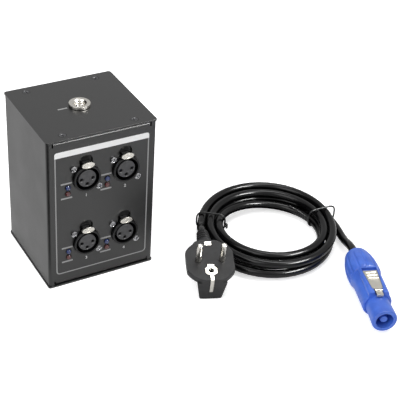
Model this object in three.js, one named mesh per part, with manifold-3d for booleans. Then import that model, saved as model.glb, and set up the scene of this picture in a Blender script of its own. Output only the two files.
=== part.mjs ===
// A four-way lighting-signal splitter in a folded steel box, with its coiled mains lead beside it.
// Millimetres, +Z up. The origin is the middle of the box's underside, and the four outputs face -Y.
import * as THREE from 'three';
import { mergeVertices } from 'three/addons/utils/BufferGeometryUtils.js';
import Module from 'manifold-3d';

const wasm = await Module();
wasm.setup();

// The box
const boxWidth = 92;
const boxDepth = 86;
const boxHeight = 135;
const sheet = 1.5;
const plateOverhang = 0.5;

// The four outputs stand in two columns and two rows
const outputSpacingX = 33;
const outputSpacingZ = 60;
const outputsMiddleX = 3;

// The sockets
const barrelDiameter = 22.4;
const barrelProud = 2.8;
const boreDiameter = 19.3;
const tabTravel = 1.8;

// The lead
const cordDiameter = 7;
const coilRadius = 58;
const coilPitch = 7.4;
const layerRise = 7.4;
const plugDiameter = 43;
const connectorDiameter = 28;
const connectorLength = 86;

// Between pieces that touch, and past what a cutter goes through
const seatGap = 0.3;
const overrun = 1;

const bodyWidth = boxWidth - 2 * plateOverhang;
const bodyDepth = boxDepth - 2 * plateOverhang;
const bodyBottom = sheet + seatGap;
const bodyTop = boxHeight - sheet - seatGap;
const middleZ = boxHeight / 2;
const panelY = bodyDepth / 2;

const powderCoat = { color: 0x303033, roughness: 0.5, metalness: 0.1 };
const blackPlastic = { color: 0x18181a, roughness: 0.5, metalness: 0 };
const greyPlastic = { color: 0x4c4c4e, roughness: 0.6, metalness: 0 };
const blackSteel = { color: 0x222224, roughness: 0.4, metalness: 0.7 };
const nickel = { color: 0xcfcdc8, roughness: 0.3, metalness: 0.9 };
const blueNylon = { color: 0x3f68d2, roughness: 0.45, metalness: 0 };
const cordPvc = { color: 0x161617, roughness: 0.4, metalness: 0 };
const plugRubber = { color: 0x3a3a3c, roughness: 0.65, metalness: 0 };
const circuitBoard = { color: 0x1f5a34, roughness: 0.5, metalness: 0 };
const blueLight = { color: 0x2f55c8, roughness: 0.3, metalness: 0 };

// Outlines lie in (x, z) for slabs along Y and in (y, z) for slabs along X
const acrossY = new THREE.Matrix4().makeBasis(
  new THREE.Vector3(1, 0, 0), new THREE.Vector3(0, 0, 1), new THREE.Vector3(0, -1, 0));
const acrossX = new THREE.Matrix4().makeBasis(
  new THREE.Vector3(0, 1, 0), new THREE.Vector3(0, 0, 1), new THREE.Vector3(1, 0, 0));

function extruded(outline, length, arcSteps) {
  return new THREE.ExtrudeGeometry(outline, { depth: length, bevelEnabled: false, curveSegments: arcSteps });
}

function slabAlongX(outline, fromX, toX, arcSteps = 4) {
  return extruded(outline, toX - fromX, arcSteps).applyMatrix4(acrossX).translate(fromX, 0, 0);
}

function slabAlongY(outline, fromY, toY, arcSteps = 4) {
  return extruded(outline, toY - fromY, arcSteps).applyMatrix4(acrossY).translate(0, toY, 0);
}

function slabAlongZ(outline, fromZ, toZ, arcSteps = 4) {
  return extruded(outline, toZ - fromZ, arcSteps).translate(0, 0, fromZ);
}

function block([fromX, toX], [fromY, toY], [fromZ, toZ]) {
  const box = new THREE.BoxGeometry(toX - fromX, toY - fromY, toZ - fromZ);
  return box.translate((fromX + toX) / 2, (fromY + toY) / 2, (fromZ + toZ) / 2);
}

function rodAlongY(radius, fromY, toY, sides) {
  return new THREE.CylinderGeometry(radius, radius, toY - fromY, sides).translate(0, (fromY + toY) / 2, 0);
}

function rodAlongZ(radius, fromZ, toZ, sides) {
  const rod = new THREE.CylinderGeometry(radius, radius, toZ - fromZ, sides).rotateX(Math.PI / 2);
  return rod.translate(0, 0, (fromZ + toZ) / 2);
}

// A profile is a list of [radius, distance along the axis]
function turnedAlongY(profile, sides) {
  return new THREE.LatheGeometry(profile.map(([radius, along]) => new THREE.Vector2(radius, along)), sides);
}

function turnedAlongZ(profile, sides) {
  return turnedAlongY(profile, sides).rotateX(Math.PI / 2);
}

function roundedRectangle(wide, high, radius) {
  const outline = new THREE.Shape();
  const x = wide / 2 - radius;
  const y = high / 2 - radius;
  outline.absarc(x, y, radius, 0, Math.PI / 2);
  outline.absarc(-x, y, radius, Math.PI / 2, Math.PI);
  outline.absarc(-x, -y, radius, Math.PI, 1.5 * Math.PI);
  outline.absarc(x, -y, radius, 1.5 * Math.PI, 2 * Math.PI);
  outline.closePath();
  return outline;
}

function polygon(points) {
  return new THREE.Shape(points.map(([x, y]) => new THREE.Vector2(x, y)));
}

// Six times the volume that the triangles enclose, negative when they face inward
function windingOf(positions, corners) {
  const a = new THREE.Vector3();
  const b = new THREE.Vector3();
  const c = new THREE.Vector3();
  let sum = 0;
  for (let i = 0; i < corners.length; i += 3) {
    a.fromArray(positions, 3 * corners[i]);
    b.fromArray(positions, 3 * corners[i + 1]);
    c.fromArray(positions, 3 * corners[i + 2]);
    sum += a.dot(b.cross(c));
  }
  return sum;
}

// A closed geometry as a solid that can be joined and cut, with its faces turned outward
function solid(geometry) {
  const bare = geometry.clone();
  bare.deleteAttribute('normal');
  bare.deleteAttribute('uv');
  const merged = mergeVertices(bare);
  const vertProperties = new Float32Array(merged.attributes.position.array);
  const triVerts = new Uint32Array(merged.index.array);
  if (windingOf(vertProperties, triVerts) < 0) {
    for (let i = 0; i < triVerts.length; i += 3) {
      [triVerts[i], triVerts[i + 1]] = [triVerts[i + 1], triVerts[i]];
    }
  }
  return new wasm.Manifold(new wasm.Mesh({ numProp: 3, vertProperties, triVerts }));
}

function joined(...geometries) {
  return geometries.map(solid).reduce((whole, next) => whole.add(next));
}

function cutBy(body, ...tools) {
  return tools.map(solid).reduce((left, tool) => left.subtract(tool), body);
}

function surfaceOf(shape) {
  const mesh = shape.getMesh();
  const geometry = new THREE.BufferGeometry();
  geometry.setAttribute('position', new THREE.BufferAttribute(new Float32Array(mesh.vertProperties), 3));
  geometry.setIndex(new THREE.BufferAttribute(new Uint32Array(mesh.triVerts), 1));
  geometry.computeVertexNormals();
  return geometry;
}

function addPiece(parent, name, shape, look) {
  const mesh = new THREE.Mesh(surfaceOf(shape), new THREE.MeshStandardMaterial(look));
  mesh.name = name;
  parent.add(mesh);
  return mesh;
}

const model = new THREE.Group();

// Countersunk cover screws go through each plate into the folded flanges
const coverScrewX = boxWidth / 2 - 16.3;
const coverScrewY = boxDepth / 2 - 7;
const coverScrewRadius = 1.5;
const coverHeadRadius = 2.8;
const coverHeadRim = 0.2;
const coverScrewLength = 8;
const screwSides = 10;
const coverScrewPlaces = [[-coverScrewX, -coverScrewY], [coverScrewX, -coverScrewY],
  [-coverScrewX, coverScrewY], [coverScrewX, coverScrewY]];

// The heads are flush with the top plate, and spare widens and lengthens them into cutters
function coverScrews(spare, past) {
  const shank = coverScrewRadius + spare;
  const head = coverHeadRadius + spare;
  const rimZ = boxHeight - coverHeadRim;
  const neckZ = rimZ - (coverHeadRadius - coverScrewRadius);
  const tipZ = boxHeight - coverScrewLength - past;
  const profile = [[0, boxHeight + past], [head, boxHeight + past], [head, rimZ], [shank, neckZ],
    [shank, tipZ], [0, tipZ]];
  return coverScrewPlaces.map(([x, y]) => turnedAlongZ(profile, screwSides).translate(x, y, 0));
}

// The threaded boss on the top plate takes an M10 bolt
const bossRadius = 8.5;
const bossHeight = 2.5;
const bossEdge = 0.5;
const bossShankRadius = 7;
const bossCollarRadius = 8.2;
const bossCollarHeight = 3;
const bossShankBelow = 9;
const threadBoreRadius = 4.3;
const threadMouthRadius = 5.7;
const bossSides = 24;

function threadedBoss() {
  const seatZ = boxHeight + seatGap;
  const topZ = boxHeight + bossHeight;
  const plateZ = boxHeight - sheet - seatGap;
  const collarZ = plateZ - bossCollarHeight;
  const lowZ = plateZ - bossShankBelow;
  const outside = turnedAlongZ([[0, topZ], [bossRadius - bossEdge, topZ], [bossRadius, topZ - bossEdge],
    [bossRadius, seatZ], [bossShankRadius, seatZ], [bossShankRadius, plateZ], [bossCollarRadius, plateZ],
    [bossCollarRadius, collarZ], [bossShankRadius, collarZ], [bossShankRadius, lowZ], [0, lowZ]], bossSides);
  const chamfer = threadMouthRadius - threadBoreRadius;
  const thread = turnedAlongZ([[0, topZ + overrun], [threadMouthRadius, topZ + overrun],
    [threadMouthRadius, topZ], [threadBoreRadius, topZ - chamfer], [threadBoreRadius, lowZ - overrun],
    [0, lowZ - overrun]], bossSides);
  return cutBy(joined(outside), thread);
}

// The covers are alike, but the top one takes the boss and the underside one has the board's posts
const plateCornerRadius = 2;

function turnedOver(geometries) {
  return geometries.map((geometry) => geometry.rotateX(Math.PI).translate(0, 0, boxHeight));
}

function topPlate() {
  const outline = roundedRectangle(boxWidth, boxDepth, plateCornerRadius);
  const bossHole = rodAlongZ(bossShankRadius + seatGap, bodyTop - overrun, boxHeight + overrun, bossSides);
  return cutBy(joined(slabAlongZ(outline, boxHeight - sheet, boxHeight)),
    ...coverScrews(seatGap, overrun), bossHole);
}

function undersidePlate() {
  const outline = roundedRectangle(boxWidth, boxDepth, plateCornerRadius);
  const posts = postPlaces.map(([x, y]) => boardPost().translate(x, y, 0));
  return cutBy(joined(slabAlongZ(outline, 0, sheet), ...posts),
    ...turnedOver(coverScrews(seatGap, overrun)));
}

// Sockets, all with the panel's outer face at y = 0 and their axis on Y, and +Y behind the panel
const barrelRadius = barrelDiameter / 2;
const boreRadius = boreDiameter / 2;
const rimEdge = 0.5;
const collarRadius = 12.6;
const boreDepth = 14;
const socketDepth = 16;
const shoulderY = sheet + seatGap;
const boreFloorY = boreDepth - barrelProud;
const socketSides = 24;

const earRadius = 3.8;
const earX = 10.5;
const earZ = 9.9;
const earBackY = 10;
const socketScrewRadius = 1.45;
const socketHeadRadius = 2.6;
const socketHeadHeight = 1.9;
const socketScrewLength = 9;
const earPlaces = [[-earX, earZ], [earX, -earZ]];

const contactX = 4.7;
const contactZ = -0.5;
const lowContactZ = -4.9;
const contactPlaces = [[-contactX, contactZ], [contactX, contactZ], [0, lowContactZ]];
const contactRadius = 1;
const contactHoleRadius = contactRadius + seatGap;
const contactSides = 6;
const contactHoleSides = 8;

const boardThickness = 1.6;
const solderTail = 1.2;
const boardFrontY = socketDepth + seatGap;
const contactBackY = boardFrontY + boardThickness + solderTail;

// The push tab's head lies in a notch of the rim, and its stem slides in a channel above the bore
const tabZ = 12.8;
const tabHalfWidth = 5.3;
const tabHalfHeight = 2.6;
const tabThickness = 1.8;
const tabEdge = 0.5;
const humpProud = 0.5;
const humpHalfWidth = 5.2;
const humpTopZ = 16;
const humpBackY = 14;
const stemHalfWidth = 3.5;
const stemHalfHeight = 1.2;
const channelEndY = 12.5;
const tabBackY = -humpProud - seatGap - tabTravel;

function socketBody() {
  const barrel = turnedAlongY([[0, -barrelProud], [barrelRadius - rimEdge, -barrelProud],
    [barrelRadius, rimEdge - barrelProud], [barrelRadius, shoulderY], [collarRadius, shoulderY],
    [collarRadius, socketDepth], [0, socketDepth]], socketSides);
  const earBar = roundedRectangle(2 * Math.hypot(earX, earZ) + 2 * earRadius, 2 * earRadius, earRadius);
  const ears = slabAlongY(earBar, shoulderY, earBackY, 3).rotateY(Math.atan2(earZ, earX));
  return [barrel, ears];
}

function earHoles(fromY, toY) {
  return earPlaces.map(([x, z]) =>
    rodAlongY(socketScrewRadius + seatGap, fromY, toY, contactHoleSides).translate(x, 0, z));
}

function contactHoles(fromY, toY) {
  return contactPlaces.map(([x, z]) =>
    rodAlongY(contactHoleRadius, fromY, toY, contactHoleSides).translate(x, 0, z));
}

function contactRods(radius, fromY, toY) {
  return contactPlaces.map(([x, z]) => rodAlongY(radius, fromY, toY, contactSides).translate(x, 0, z));
}

function femaleShell() {
  const hump = block([-humpHalfWidth, humpHalfWidth], [-humpProud, humpBackY], [0, humpTopZ]);
  const bore = rodAlongY(boreRadius, -barrelProud - overrun, boreFloorY, socketSides);
  const notchHalfWidth = tabHalfWidth + seatGap;
  const notch = block([-notchHalfWidth, notchHalfWidth], [-barrelProud - overrun, -humpProud],
    [tabZ - tabHalfHeight - seatGap, humpTopZ]);
  const channelHalfWidth = stemHalfWidth + seatGap;
  const channelHalfHeight = stemHalfHeight + seatGap;
  const channel = block([-channelHalfWidth, channelHalfWidth], [-humpProud - overrun, channelEndY],
    [tabZ - channelHalfHeight, tabZ + channelHalfHeight]);
  return cutBy(joined(...socketBody(), hump), bore, notch, channel,
    ...earHoles(0, earBackY + overrun), ...contactHoles(boreFloorY - overrun, socketDepth + overrun));
}

const insertRadius = 7.3;
const insertFrontY = -0.9;
const insertEdge = 0.5;
const insertHoleDepth = 9;
const insertSides = 16;

function femaleInsert() {
  const backY = boreFloorY - seatGap;
  const core = turnedAlongY([[0, insertFrontY], [insertRadius - insertEdge, insertFrontY],
    [insertRadius, insertFrontY + insertEdge], [insertRadius, backY], [0, backY]], insertSides);
  const holes = contactHoles(insertFrontY - overrun, insertHoleDepth);
  return cutBy(joined(core, ...contactRods(contactRadius, backY - seatGap, contactBackY)), ...holes);
}

function pushTab() {
  const outline = new THREE.Shape();
  outline.absellipse(0, 0, tabHalfWidth - tabEdge, tabHalfHeight - tabEdge, 0, 2 * Math.PI);
  const head = new THREE.ExtrudeGeometry(outline, { depth: tabThickness - 2 * tabEdge, curveSegments: 8,
    bevelEnabled: true, bevelThickness: tabEdge, bevelSize: tabEdge, bevelSegments: 1 });
  head.applyMatrix4(acrossY).translate(0, tabBackY - tabEdge, tabZ);
  const stemEndY = channelEndY - tabTravel - seatGap;
  const stem = block([-stemHalfWidth, stemHalfWidth], [tabBackY - tabEdge, stemEndY],
    [tabZ - stemHalfHeight, tabZ + stemHalfHeight]);
  return joined(head, stem);
}

// What the panel is cut away for behind a socket
function socketCutters(hasTab) {
  const cutters = [rodAlongY(barrelRadius + seatGap, -overrun, sheet + overrun, socketSides),
    ...earHoles(-overrun, sheet + overrun)];
  if (hasTab) {
    const halfWidth = humpHalfWidth + seatGap;
    cutters.push(block([-halfWidth, halfWidth], [-overrun, sheet + overrun], [0, humpTopZ + seatGap]));
  }
  return cutters;
}

const crownShare = 0.55;
const crownDropShare = 0.25;

// A pan head seated on the panel's face, with its shank behind it
function panHeadScrew() {
  const headY = -seatGap;
  const frontY = headY - socketHeadHeight;
  const profile = [[0, frontY], [socketHeadRadius * crownShare, frontY],
    [socketHeadRadius, frontY + socketHeadHeight * crownDropShare], [socketHeadRadius, headY],
    [socketScrewRadius, headY], [socketScrewRadius, headY + socketScrewLength], [0, headY + socketScrewLength]];
  return turnedAlongY(profile, contactHoleSides);
}

// The male input has a narrower cup, with three pins on a disc at its bottom
const cupRadius = 8.1;
const pinRadius = 1.2;
const pinFrontY = 1.5 - barrelProud;
const pinDiscThickness = 2.5;

function maleShell() {
  const cup = rodAlongY(cupRadius, -barrelProud - overrun, boreFloorY, socketSides);
  const pinHoles = contactRods(pinRadius + seatGap, boreFloorY - overrun, socketDepth + overrun);
  return cutBy(joined(...socketBody()), cup, ...earHoles(0, earBackY + overrun), ...pinHoles);
}

function malePins() {
  const backY = boreFloorY - seatGap;
  const disc = rodAlongY(cupRadius - seatGap, backY - pinDiscThickness, backY, insertSides);
  return joined(disc, ...contactRods(pinRadius, pinFrontY, contactBackY));
}

// The locking mains inlet has a square flange, a ring-shaped well with a hollow core in it, and
// three blades behind
const inletFlangeWidth = 26;
const inletFlangeHeight = 31;
const inletFlangeThickness = 2;
const inletCornerRadius = 3;
const inletBodyRadius = 11.8;
const inletWellRadius = 10.3;
const inletCoreRadius = 6.5;
const inletCoreBoreRadius = 3.5;
const inletCoreRecess = 1.2;
const inletWellDepth = 17;
const inletDepth = 19;
const inletScrewX = 9.5;
const inletScrewZ = 12;
const inletScrewPlaces = [[-inletScrewX, inletScrewZ], [inletScrewX, -inletScrewZ]];
const inletFaceY = -seatGap - inletFlangeThickness;
const inletFloorY = inletFaceY + inletWellDepth;

const bladeHalfWidth = 2.4;
const bladeHalfThickness = 0.4;
const bladeSpacing = 6;
const bladeLength = 7;

function blades() {
  return [-bladeSpacing, 0, bladeSpacing].map((x) =>
    block([x - bladeHalfThickness, x + bladeHalfThickness], [inletDepth - seatGap, inletDepth + bladeLength],
      [-bladeHalfWidth, bladeHalfWidth]));
}

function inletHoles(fromY, toY) {
  return inletScrewPlaces.map(([x, z]) =>
    rodAlongY(socketScrewRadius + seatGap, fromY, toY, contactHoleSides).translate(x, 0, z));
}

function powerInlet() {
  const coreFrontY = inletFaceY + inletCoreRecess;
  const well = turnedAlongY([[0, inletFloorY], [inletCoreBoreRadius, inletFloorY],
    [inletCoreBoreRadius, coreFrontY], [inletCoreRadius, coreFrontY], [inletCoreRadius, inletFloorY],
    [inletWellRadius, inletFloorY], [inletWellRadius, inletFaceY], [inletBodyRadius, inletFaceY],
    [inletBodyRadius, inletDepth], [0, inletDepth]], socketSides);
  const outline = roundedRectangle(inletFlangeWidth, inletFlangeHeight, inletCornerRadius);
  const mouth = new THREE.Path();
  mouth.absarc(0, 0, (inletWellRadius + inletBodyRadius) / 2, 0, 2 * Math.PI);
  outline.holes.push(mouth);
  const flange = slabAlongY(outline, inletFaceY, -seatGap, 6);
  return cutBy(joined(well, flange, ...blades()), ...inletHoles(inletFaceY - overrun, 0));
}

function inletCutters() {
  return [rodAlongY(inletBodyRadius + seatGap, -overrun, sheet + overrun, socketSides),
    ...inletHoles(-overrun, sheet + overrun)];
}

// Each output has a blue light over a red one, in one holder whose legs reach the board
const lightOffsetX = 15.3;
const lightPairZ = -8.3;
const lightPitch = 5.4;
const lightRadius = 2;
const lightHoleSpare = 0.25;
const lightProud = 1.4;
const lightHolderY = 3;
const lightHolderBackY = 10;
const lightHolderWall = 0.8;
const lightLeg = 0.6;
const lightLegSpacing = 1.8;
const lightSides = 10;
const lightHeights = [lightPitch / 2, -lightPitch / 2];
const domeShares = [[0.75, 0.65]];

function lightPair() {
  const dome = domeShares.map(([across, out]) => [lightRadius * across, -lightProud * out]);
  const profile = [[0, -lightProud], ...dome, [lightRadius, sheet], [lightRadius, lightHolderY + overrun],
    [0, lightHolderY + overrun]];
  const lamps = lightHeights.map((z) => turnedAlongY(profile, lightSides).translate(0, 0, z));
  const halfWidth = lightRadius + lightHolderWall;
  const holder = block([-halfWidth, halfWidth], [lightHolderY, lightHolderBackY],
    [-lightPitch / 2 - halfWidth, lightPitch / 2 + halfWidth]);
  const legs = lightHeights.flatMap((z) => [-lightLegSpacing / 2, lightLegSpacing / 2].map((x) =>
    block([x - lightLeg / 2, x + lightLeg / 2], [lightHolderBackY - seatGap, boardFrontY - seatGap],
      [z - lightLeg / 2, z + lightLeg / 2])));
  return joined(holder, ...lamps, ...legs);
}

// Where everything sits on the two panels
const outputPlaces = [
  [outputsMiddleX - outputSpacingX / 2, middleZ + outputSpacingZ / 2],
  [outputsMiddleX + outputSpacingX / 2, middleZ + outputSpacingZ / 2],
  [outputsMiddleX - outputSpacingX / 2, middleZ - outputSpacingZ / 2],
  [outputsMiddleX + outputSpacingX / 2, middleZ - outputSpacingZ / 2]];
const inputX = 19;
const inputZ = middleZ + outputSpacingZ / 2;
const throughX = -inputX;
const inletZ = 40;

const lightPlaces = outputPlaces.map(([x, z]) => [x - lightOffsetX, z + lightPairZ]);

// A group on a panel, whose local +Y runs into the box
function panelGroup(x, z, isRear) {
  const group = new THREE.Group();
  group.position.set(isRear ? -x : x, isRear ? panelY : -panelY, z);
  group.rotation.z = isRear ? Math.PI : 0;
  group.updateMatrix();
  model.add(group);
  return group;
}

function placed(geometries, [x, z], isRear) {
  const turned = new THREE.Matrix4().makeRotationZ(isRear ? Math.PI : 0);
  turned.setPosition(isRear ? -x : x, isRear ? panelY : -panelY, z);
  return geometries.map((geometry) => geometry.applyMatrix4(turned));
}

// The sleeve is one folded sheet with rounded corners. Its front and back turn in at the top and
// bottom as flanges that carry the covers, with relief notches where the fold ends.
const bodyCornerRadius = 2.5;
const foldRadius = 2.4;
const flangeDepth = 11;
const flangeEndInset = 6;
const reliefWidth = 1.2;
const reliefDepth = 3.4;
const flangeTurns = [[0, 0], [0, Math.PI], [Math.PI, 0], [Math.PI, Math.PI]];

function flangeFold() {
  const foldZ = bodyTop - middleZ;
  const outline = new THREE.Shape();
  outline.moveTo(-panelY, foldZ - reliefDepth - overrun);
  outline.lineTo(-panelY, foldZ - foldRadius);
  outline.absarc(foldRadius - panelY, foldZ - foldRadius, foldRadius, Math.PI, Math.PI / 2, true);
  outline.lineTo(flangeDepth - panelY, foldZ);
  outline.lineTo(flangeDepth - panelY, foldZ - sheet);
  outline.lineTo(foldRadius - panelY, foldZ - sheet);
  outline.absarc(foldRadius - panelY, foldZ - foldRadius, foldRadius - sheet, Math.PI / 2, Math.PI);
  outline.lineTo(sheet - panelY, foldZ - reliefDepth - overrun);
  outline.closePath();
  const halfWidth = boxWidth / 2 - flangeEndInset;
  return slabAlongX(outline, -halfWidth, halfWidth);
}

function foldRelief() {
  const halfWidth = boxWidth / 2 - flangeEndInset + reliefWidth;
  const topZ = bodyTop - middleZ;
  return block([-halfWidth, halfWidth], [-panelY - overrun, sheet + seatGap - panelY],
    [topZ - reliefDepth, topZ + overrun]);
}

function housingSleeve() {
  const outline = roundedRectangle(bodyWidth, bodyDepth, bodyCornerRadius);
  outline.holes.push(roundedRectangle(bodyWidth - 2 * sheet, bodyDepth - 2 * sheet, bodyCornerRadius - sheet));
  const turned = (make) => flangeTurns.map(([aboutX, aboutZ]) =>
    make().rotateZ(aboutZ).rotateX(aboutX).translate(0, 0, middleZ));
  const walls = cutBy(joined(slabAlongZ(outline, bodyBottom, bodyTop)), ...turned(foldRelief));
  const folded = turned(flangeFold).map(solid).reduce((whole, flange) => whole.add(flange), walls);
  const lightHoles = () => lightHeights.map((z) =>
    rodAlongY(lightRadius + lightHoleSpare, -overrun, sheet + overrun, lightSides).translate(0, 0, z));
  return cutBy(folded, ...coverScrews(seatGap, overrun), ...turnedOver(coverScrews(seatGap, overrun)),
    ...outputPlaces.flatMap((place) => placed(socketCutters(true), place, false)),
    ...lightPlaces.flatMap((place) => placed(lightHoles(), place, false)),
    ...placed(socketCutters(false), [inputX, inputZ], true),
    ...placed(socketCutters(true), [throughX, inputZ], true),
    ...placed(inletCutters(), [0, inletZ], true));
}

// The boards behind the panels carry the contacts. On their far side each socket has a chip, which
// lies towards the middle of the box's height.
const outputBoardSideGap = 4;
const outputBoardHalfWidth = bodyWidth / 2 - sheet - outputBoardSideGap;
const boardMargin = 12;
const chipHalfWidth = 5;
const chipHalfHeight = 3.3;
const chipThickness = 3.4;
const chipInwardZ = 20;
const inputBoardSideGap = 6;
const inputBoardHalfWidth = bodyWidth / 2 - sheet - inputBoardSideGap;
const inputBoardBottomZ = inputZ - 25.5;

function panelBoard(halfWidth, fromZ, toZ, sockets, holeRadius, isRear) {
  const boardBackY = boardFrontY + boardThickness;
  const board = block([-halfWidth, halfWidth], [boardFrontY, boardBackY], [fromZ, toZ]);
  const chips = sockets.map(([x, z]) => {
    const chipZ = z - chipInwardZ * Math.sign(z - middleZ);
    return block([x - chipHalfWidth, x + chipHalfWidth], [boardBackY - seatGap, boardBackY + chipThickness],
      [chipZ - chipHalfHeight, chipZ + chipHalfHeight]);
  });
  const holes = sockets.flatMap(([x, z]) => contactPlaces.map(([atX, atZ]) =>
    rodAlongY(holeRadius, boardFrontY - overrun, boardBackY + overrun, contactHoleSides)
      .translate(x + atX, 0, z + atZ)));
  return cutBy(joined(...placed([board, ...chips], [0, 0], isRear)), ...placed(holes, [0, 0], isRear));
}

// The power board stands on four posts that are pressed into the underside plate
const powerBoardZ = 10;
const powerBoardHalfWidth = 36;
const powerBoardFrontY = -20;
const powerBoardBackY = 26;
const postX = 31;
const postPlaces = [[-postX, powerBoardFrontY + 5], [postX, powerBoardFrontY + 5],
  [-postX, powerBoardBackY - 5], [postX, powerBoardBackY - 5]];
const postFootRadius = 5;
const postFootZ = sheet + 1;
const postRadius = 3;
const postPegRadius = 1.5;
const postPegAbove = 1.4;

function boardPost() {
  const footZ = sheet / 2;
  const seatZ = powerBoardZ - seatGap;
  const pegZ = powerBoardZ + boardThickness + postPegAbove;
  return turnedAlongZ([[0, footZ], [postFootRadius, footZ], [postFootRadius, postFootZ],
    [postRadius, postFootZ], [postRadius, seatZ], [postPegRadius, seatZ], [postPegRadius, pegZ], [0, pegZ]],
  contactHoleSides);
}

function powerBoard() {
  const board = block([-powerBoardHalfWidth, powerBoardHalfWidth], [powerBoardFrontY, powerBoardBackY],
    [powerBoardZ, powerBoardZ + boardThickness]);
  return cutBy(joined(board), ...postPlaces.map(([x, y]) =>
    rodAlongZ(postPegRadius + seatGap, powerBoardZ - overrun, powerBoardZ + boardThickness + overrun,
      contactHoleSides).translate(x, y, 0)));
}

const transformerX = -12;
const transformerHalfWidth = 12;
const transformerHalfDepth = 10;
const transformerHeight = 18;
const windingSwell = 2;
const windingHalfWidth = 7.5;
const coreLowShare = 0.2;
const coreHighShare = 0.8;

// A laminated core with the taped winding bulging out front and back
function powerTransformer() {
  const footZ = powerBoardZ + boardThickness + seatGap;
  const bulge = transformerHalfDepth + windingSwell;
  const core = block([transformerX - transformerHalfWidth, transformerX + transformerHalfWidth],
    [-transformerHalfDepth, transformerHalfDepth], [footZ, footZ + transformerHeight]);
  const winding = block([transformerX - windingHalfWidth, transformerX + windingHalfWidth], [-bulge, bulge],
    [footZ + transformerHeight * coreLowShare, footZ + transformerHeight * coreHighShare]);
  return joined(core, winding);
}

const capacitorX = 22;
const capacitorRadius = 8;
const capacitorHeight = 25;

function powerCapacitor() {
  const footZ = powerBoardZ + boardThickness + seatGap;
  return joined(rodAlongZ(capacitorRadius, footZ, footZ + capacitorHeight, lightSides)
    .translate(capacitorX, 0, 0));
}

// The box
addPiece(model, 'housing_sleeve', housingSleeve(), powderCoat);
addPiece(model, 'top_plate', topPlate(), powderCoat);
addPiece(model, 'underside_plate', undersidePlate(), powderCoat);
addPiece(model, 'threaded_boss', threadedBoss(), nickel);
coverScrews(0, 0).forEach((screw, index) => addPiece(model, `top_screw_${index + 1}`, joined(screw), blackSteel));

function addFemaleSocket(group, name) {
  addPiece(group, `${name}_shell`, femaleShell(), blackPlastic);
  addPiece(group, `${name}_insert`, femaleInsert(), greyPlastic);
  addPiece(group, `${name}_push_tab`, pushTab(), nickel);
}

outputPlaces.forEach(([x, z], index) => {
  const group = panelGroup(x, z, false);
  const name = `output_${index + 1}`;
  addFemaleSocket(group, name);
  earPlaces.forEach(([earAtX, earAtZ], ear) => {
    const screw = addPiece(group, `${name}_screw_${ear + 1}`, joined(panHeadScrew()), nickel);
    screw.position.set(earAtX, 0, earAtZ);
  });
});
lightPlaces.forEach(([x, z], index) =>
  addPiece(panelGroup(x, z, false), `output_${index + 1}_lights`, lightPair(), blueLight));

addFemaleSocket(panelGroup(throughX, inputZ, true), 'through');
const inputGroup = panelGroup(inputX, inputZ, true);
addPiece(inputGroup, 'input_shell', maleShell(), blackPlastic);
addPiece(inputGroup, 'input_pins', malePins(), nickel);
addPiece(panelGroup(0, inletZ, true), 'power_inlet', powerInlet(), blueNylon);

addPiece(model, 'output_board', panelBoard(outputBoardHalfWidth, boardMargin,
  boxHeight - boardMargin, outputPlaces, contactHoleRadius, false), circuitBoard);
addPiece(model, 'input_board', panelBoard(inputBoardHalfWidth, inputBoardBottomZ,
  boxHeight - boardMargin, [[inputX, inputZ], [throughX, inputZ]], pinRadius + seatGap, true), circuitBoard);
addPiece(model, 'power_board', powerBoard(), circuitBoard);
addPiece(model, 'power_transformer', powerTransformer(), blackSteel);
addPiece(model, 'power_capacitor', powerCapacitor(), blackPlastic);

// The angled plug lies on its back with its pins up and leans on its near edge. Its group's +Y points
// to the cord.
const plugPlace = new THREE.Vector3(72.4, -89.4, 0);
const plugHeading = THREE.MathUtils.degToRad(68);
const plugLean = THREE.MathUtils.degToRad(14);
const plugFaceZ = 24;
const plugHalfWidth = 19;
const plugHalfLength = 20;
const plugRimHeight = 5.5;
const plugBevelHeight = 6;
const plugBevel = 7;
const plugEdge = 0.8;
const plugSides = 32;
const gripTopHalfWidth = 12;
const gripFootHalfWidth = 9.3;
const gripCorner = 3;
const gripHeight = 20;
const gripEndY = 24;
const neckHeight = 9.5;
const neckRadius = 9;
const neckEndRadius = 6.6;
const neckLength = 6;
const reliefEndAlong = 20.5;

const plugPinRadius = 2.4;
const plugPinLength = 19;
const plugPinSpacing = 19;
const plugPinSeat = 10;
const plugPinTip = 0.8;

const earthHoleY = -10;
const earthHoleRadius = 2.3;
const earthHoleDepth = 14;
const earthPlateHalfWidth = 4.75;
const earthPlateHalfLength = 3.5;
const earthPlateCorner = 1.2;
const earthPlateNeck = 1;
const earthTabHalfWidth = 2.8;
const earthTabEndY = -3.7;
const earthRecess = 1.5;
const earthSheet = 0.8;
const earthStripHalfWidth = 1.5;
const earthStripLowZ = 8;
const farContactLength = 4;
const earthStrapHalfWidth = 4;
const earthStrapZ = 20.6;
const gripSunk = 4;

const earthTopZ = plugFaceZ - seatGap;
const earthLowZ = earthTopZ - earthSheet;
const recessZ = plugFaceZ - earthRecess;

// The clip's near end seen from above: a plate round the earth hole with cut corners, a tab towards
// the pins and a strip to the near edge
function nearEarthOutline(spare, nearY) {
  const plate = earthPlateHalfWidth + spare;
  const shoulder = plate - earthPlateCorner;
  const tab = earthTabHalfWidth + spare;
  const strip = earthStripHalfWidth + spare;
  const farY = earthHoleY + earthPlateHalfLength + spare;
  const lowY = earthHoleY - earthPlateHalfLength - spare;
  const right = [[tab, earthTabEndY + spare], [tab, farY], [shoulder, farY], [plate, farY - earthPlateCorner],
    [plate, lowY + earthPlateCorner], [shoulder, lowY], [strip, lowY - earthPlateNeck], [strip, nearY]];
  return polygon([...right, ...right.map(([x, y]) => [-x, y]).reverse()]);
}

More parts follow.
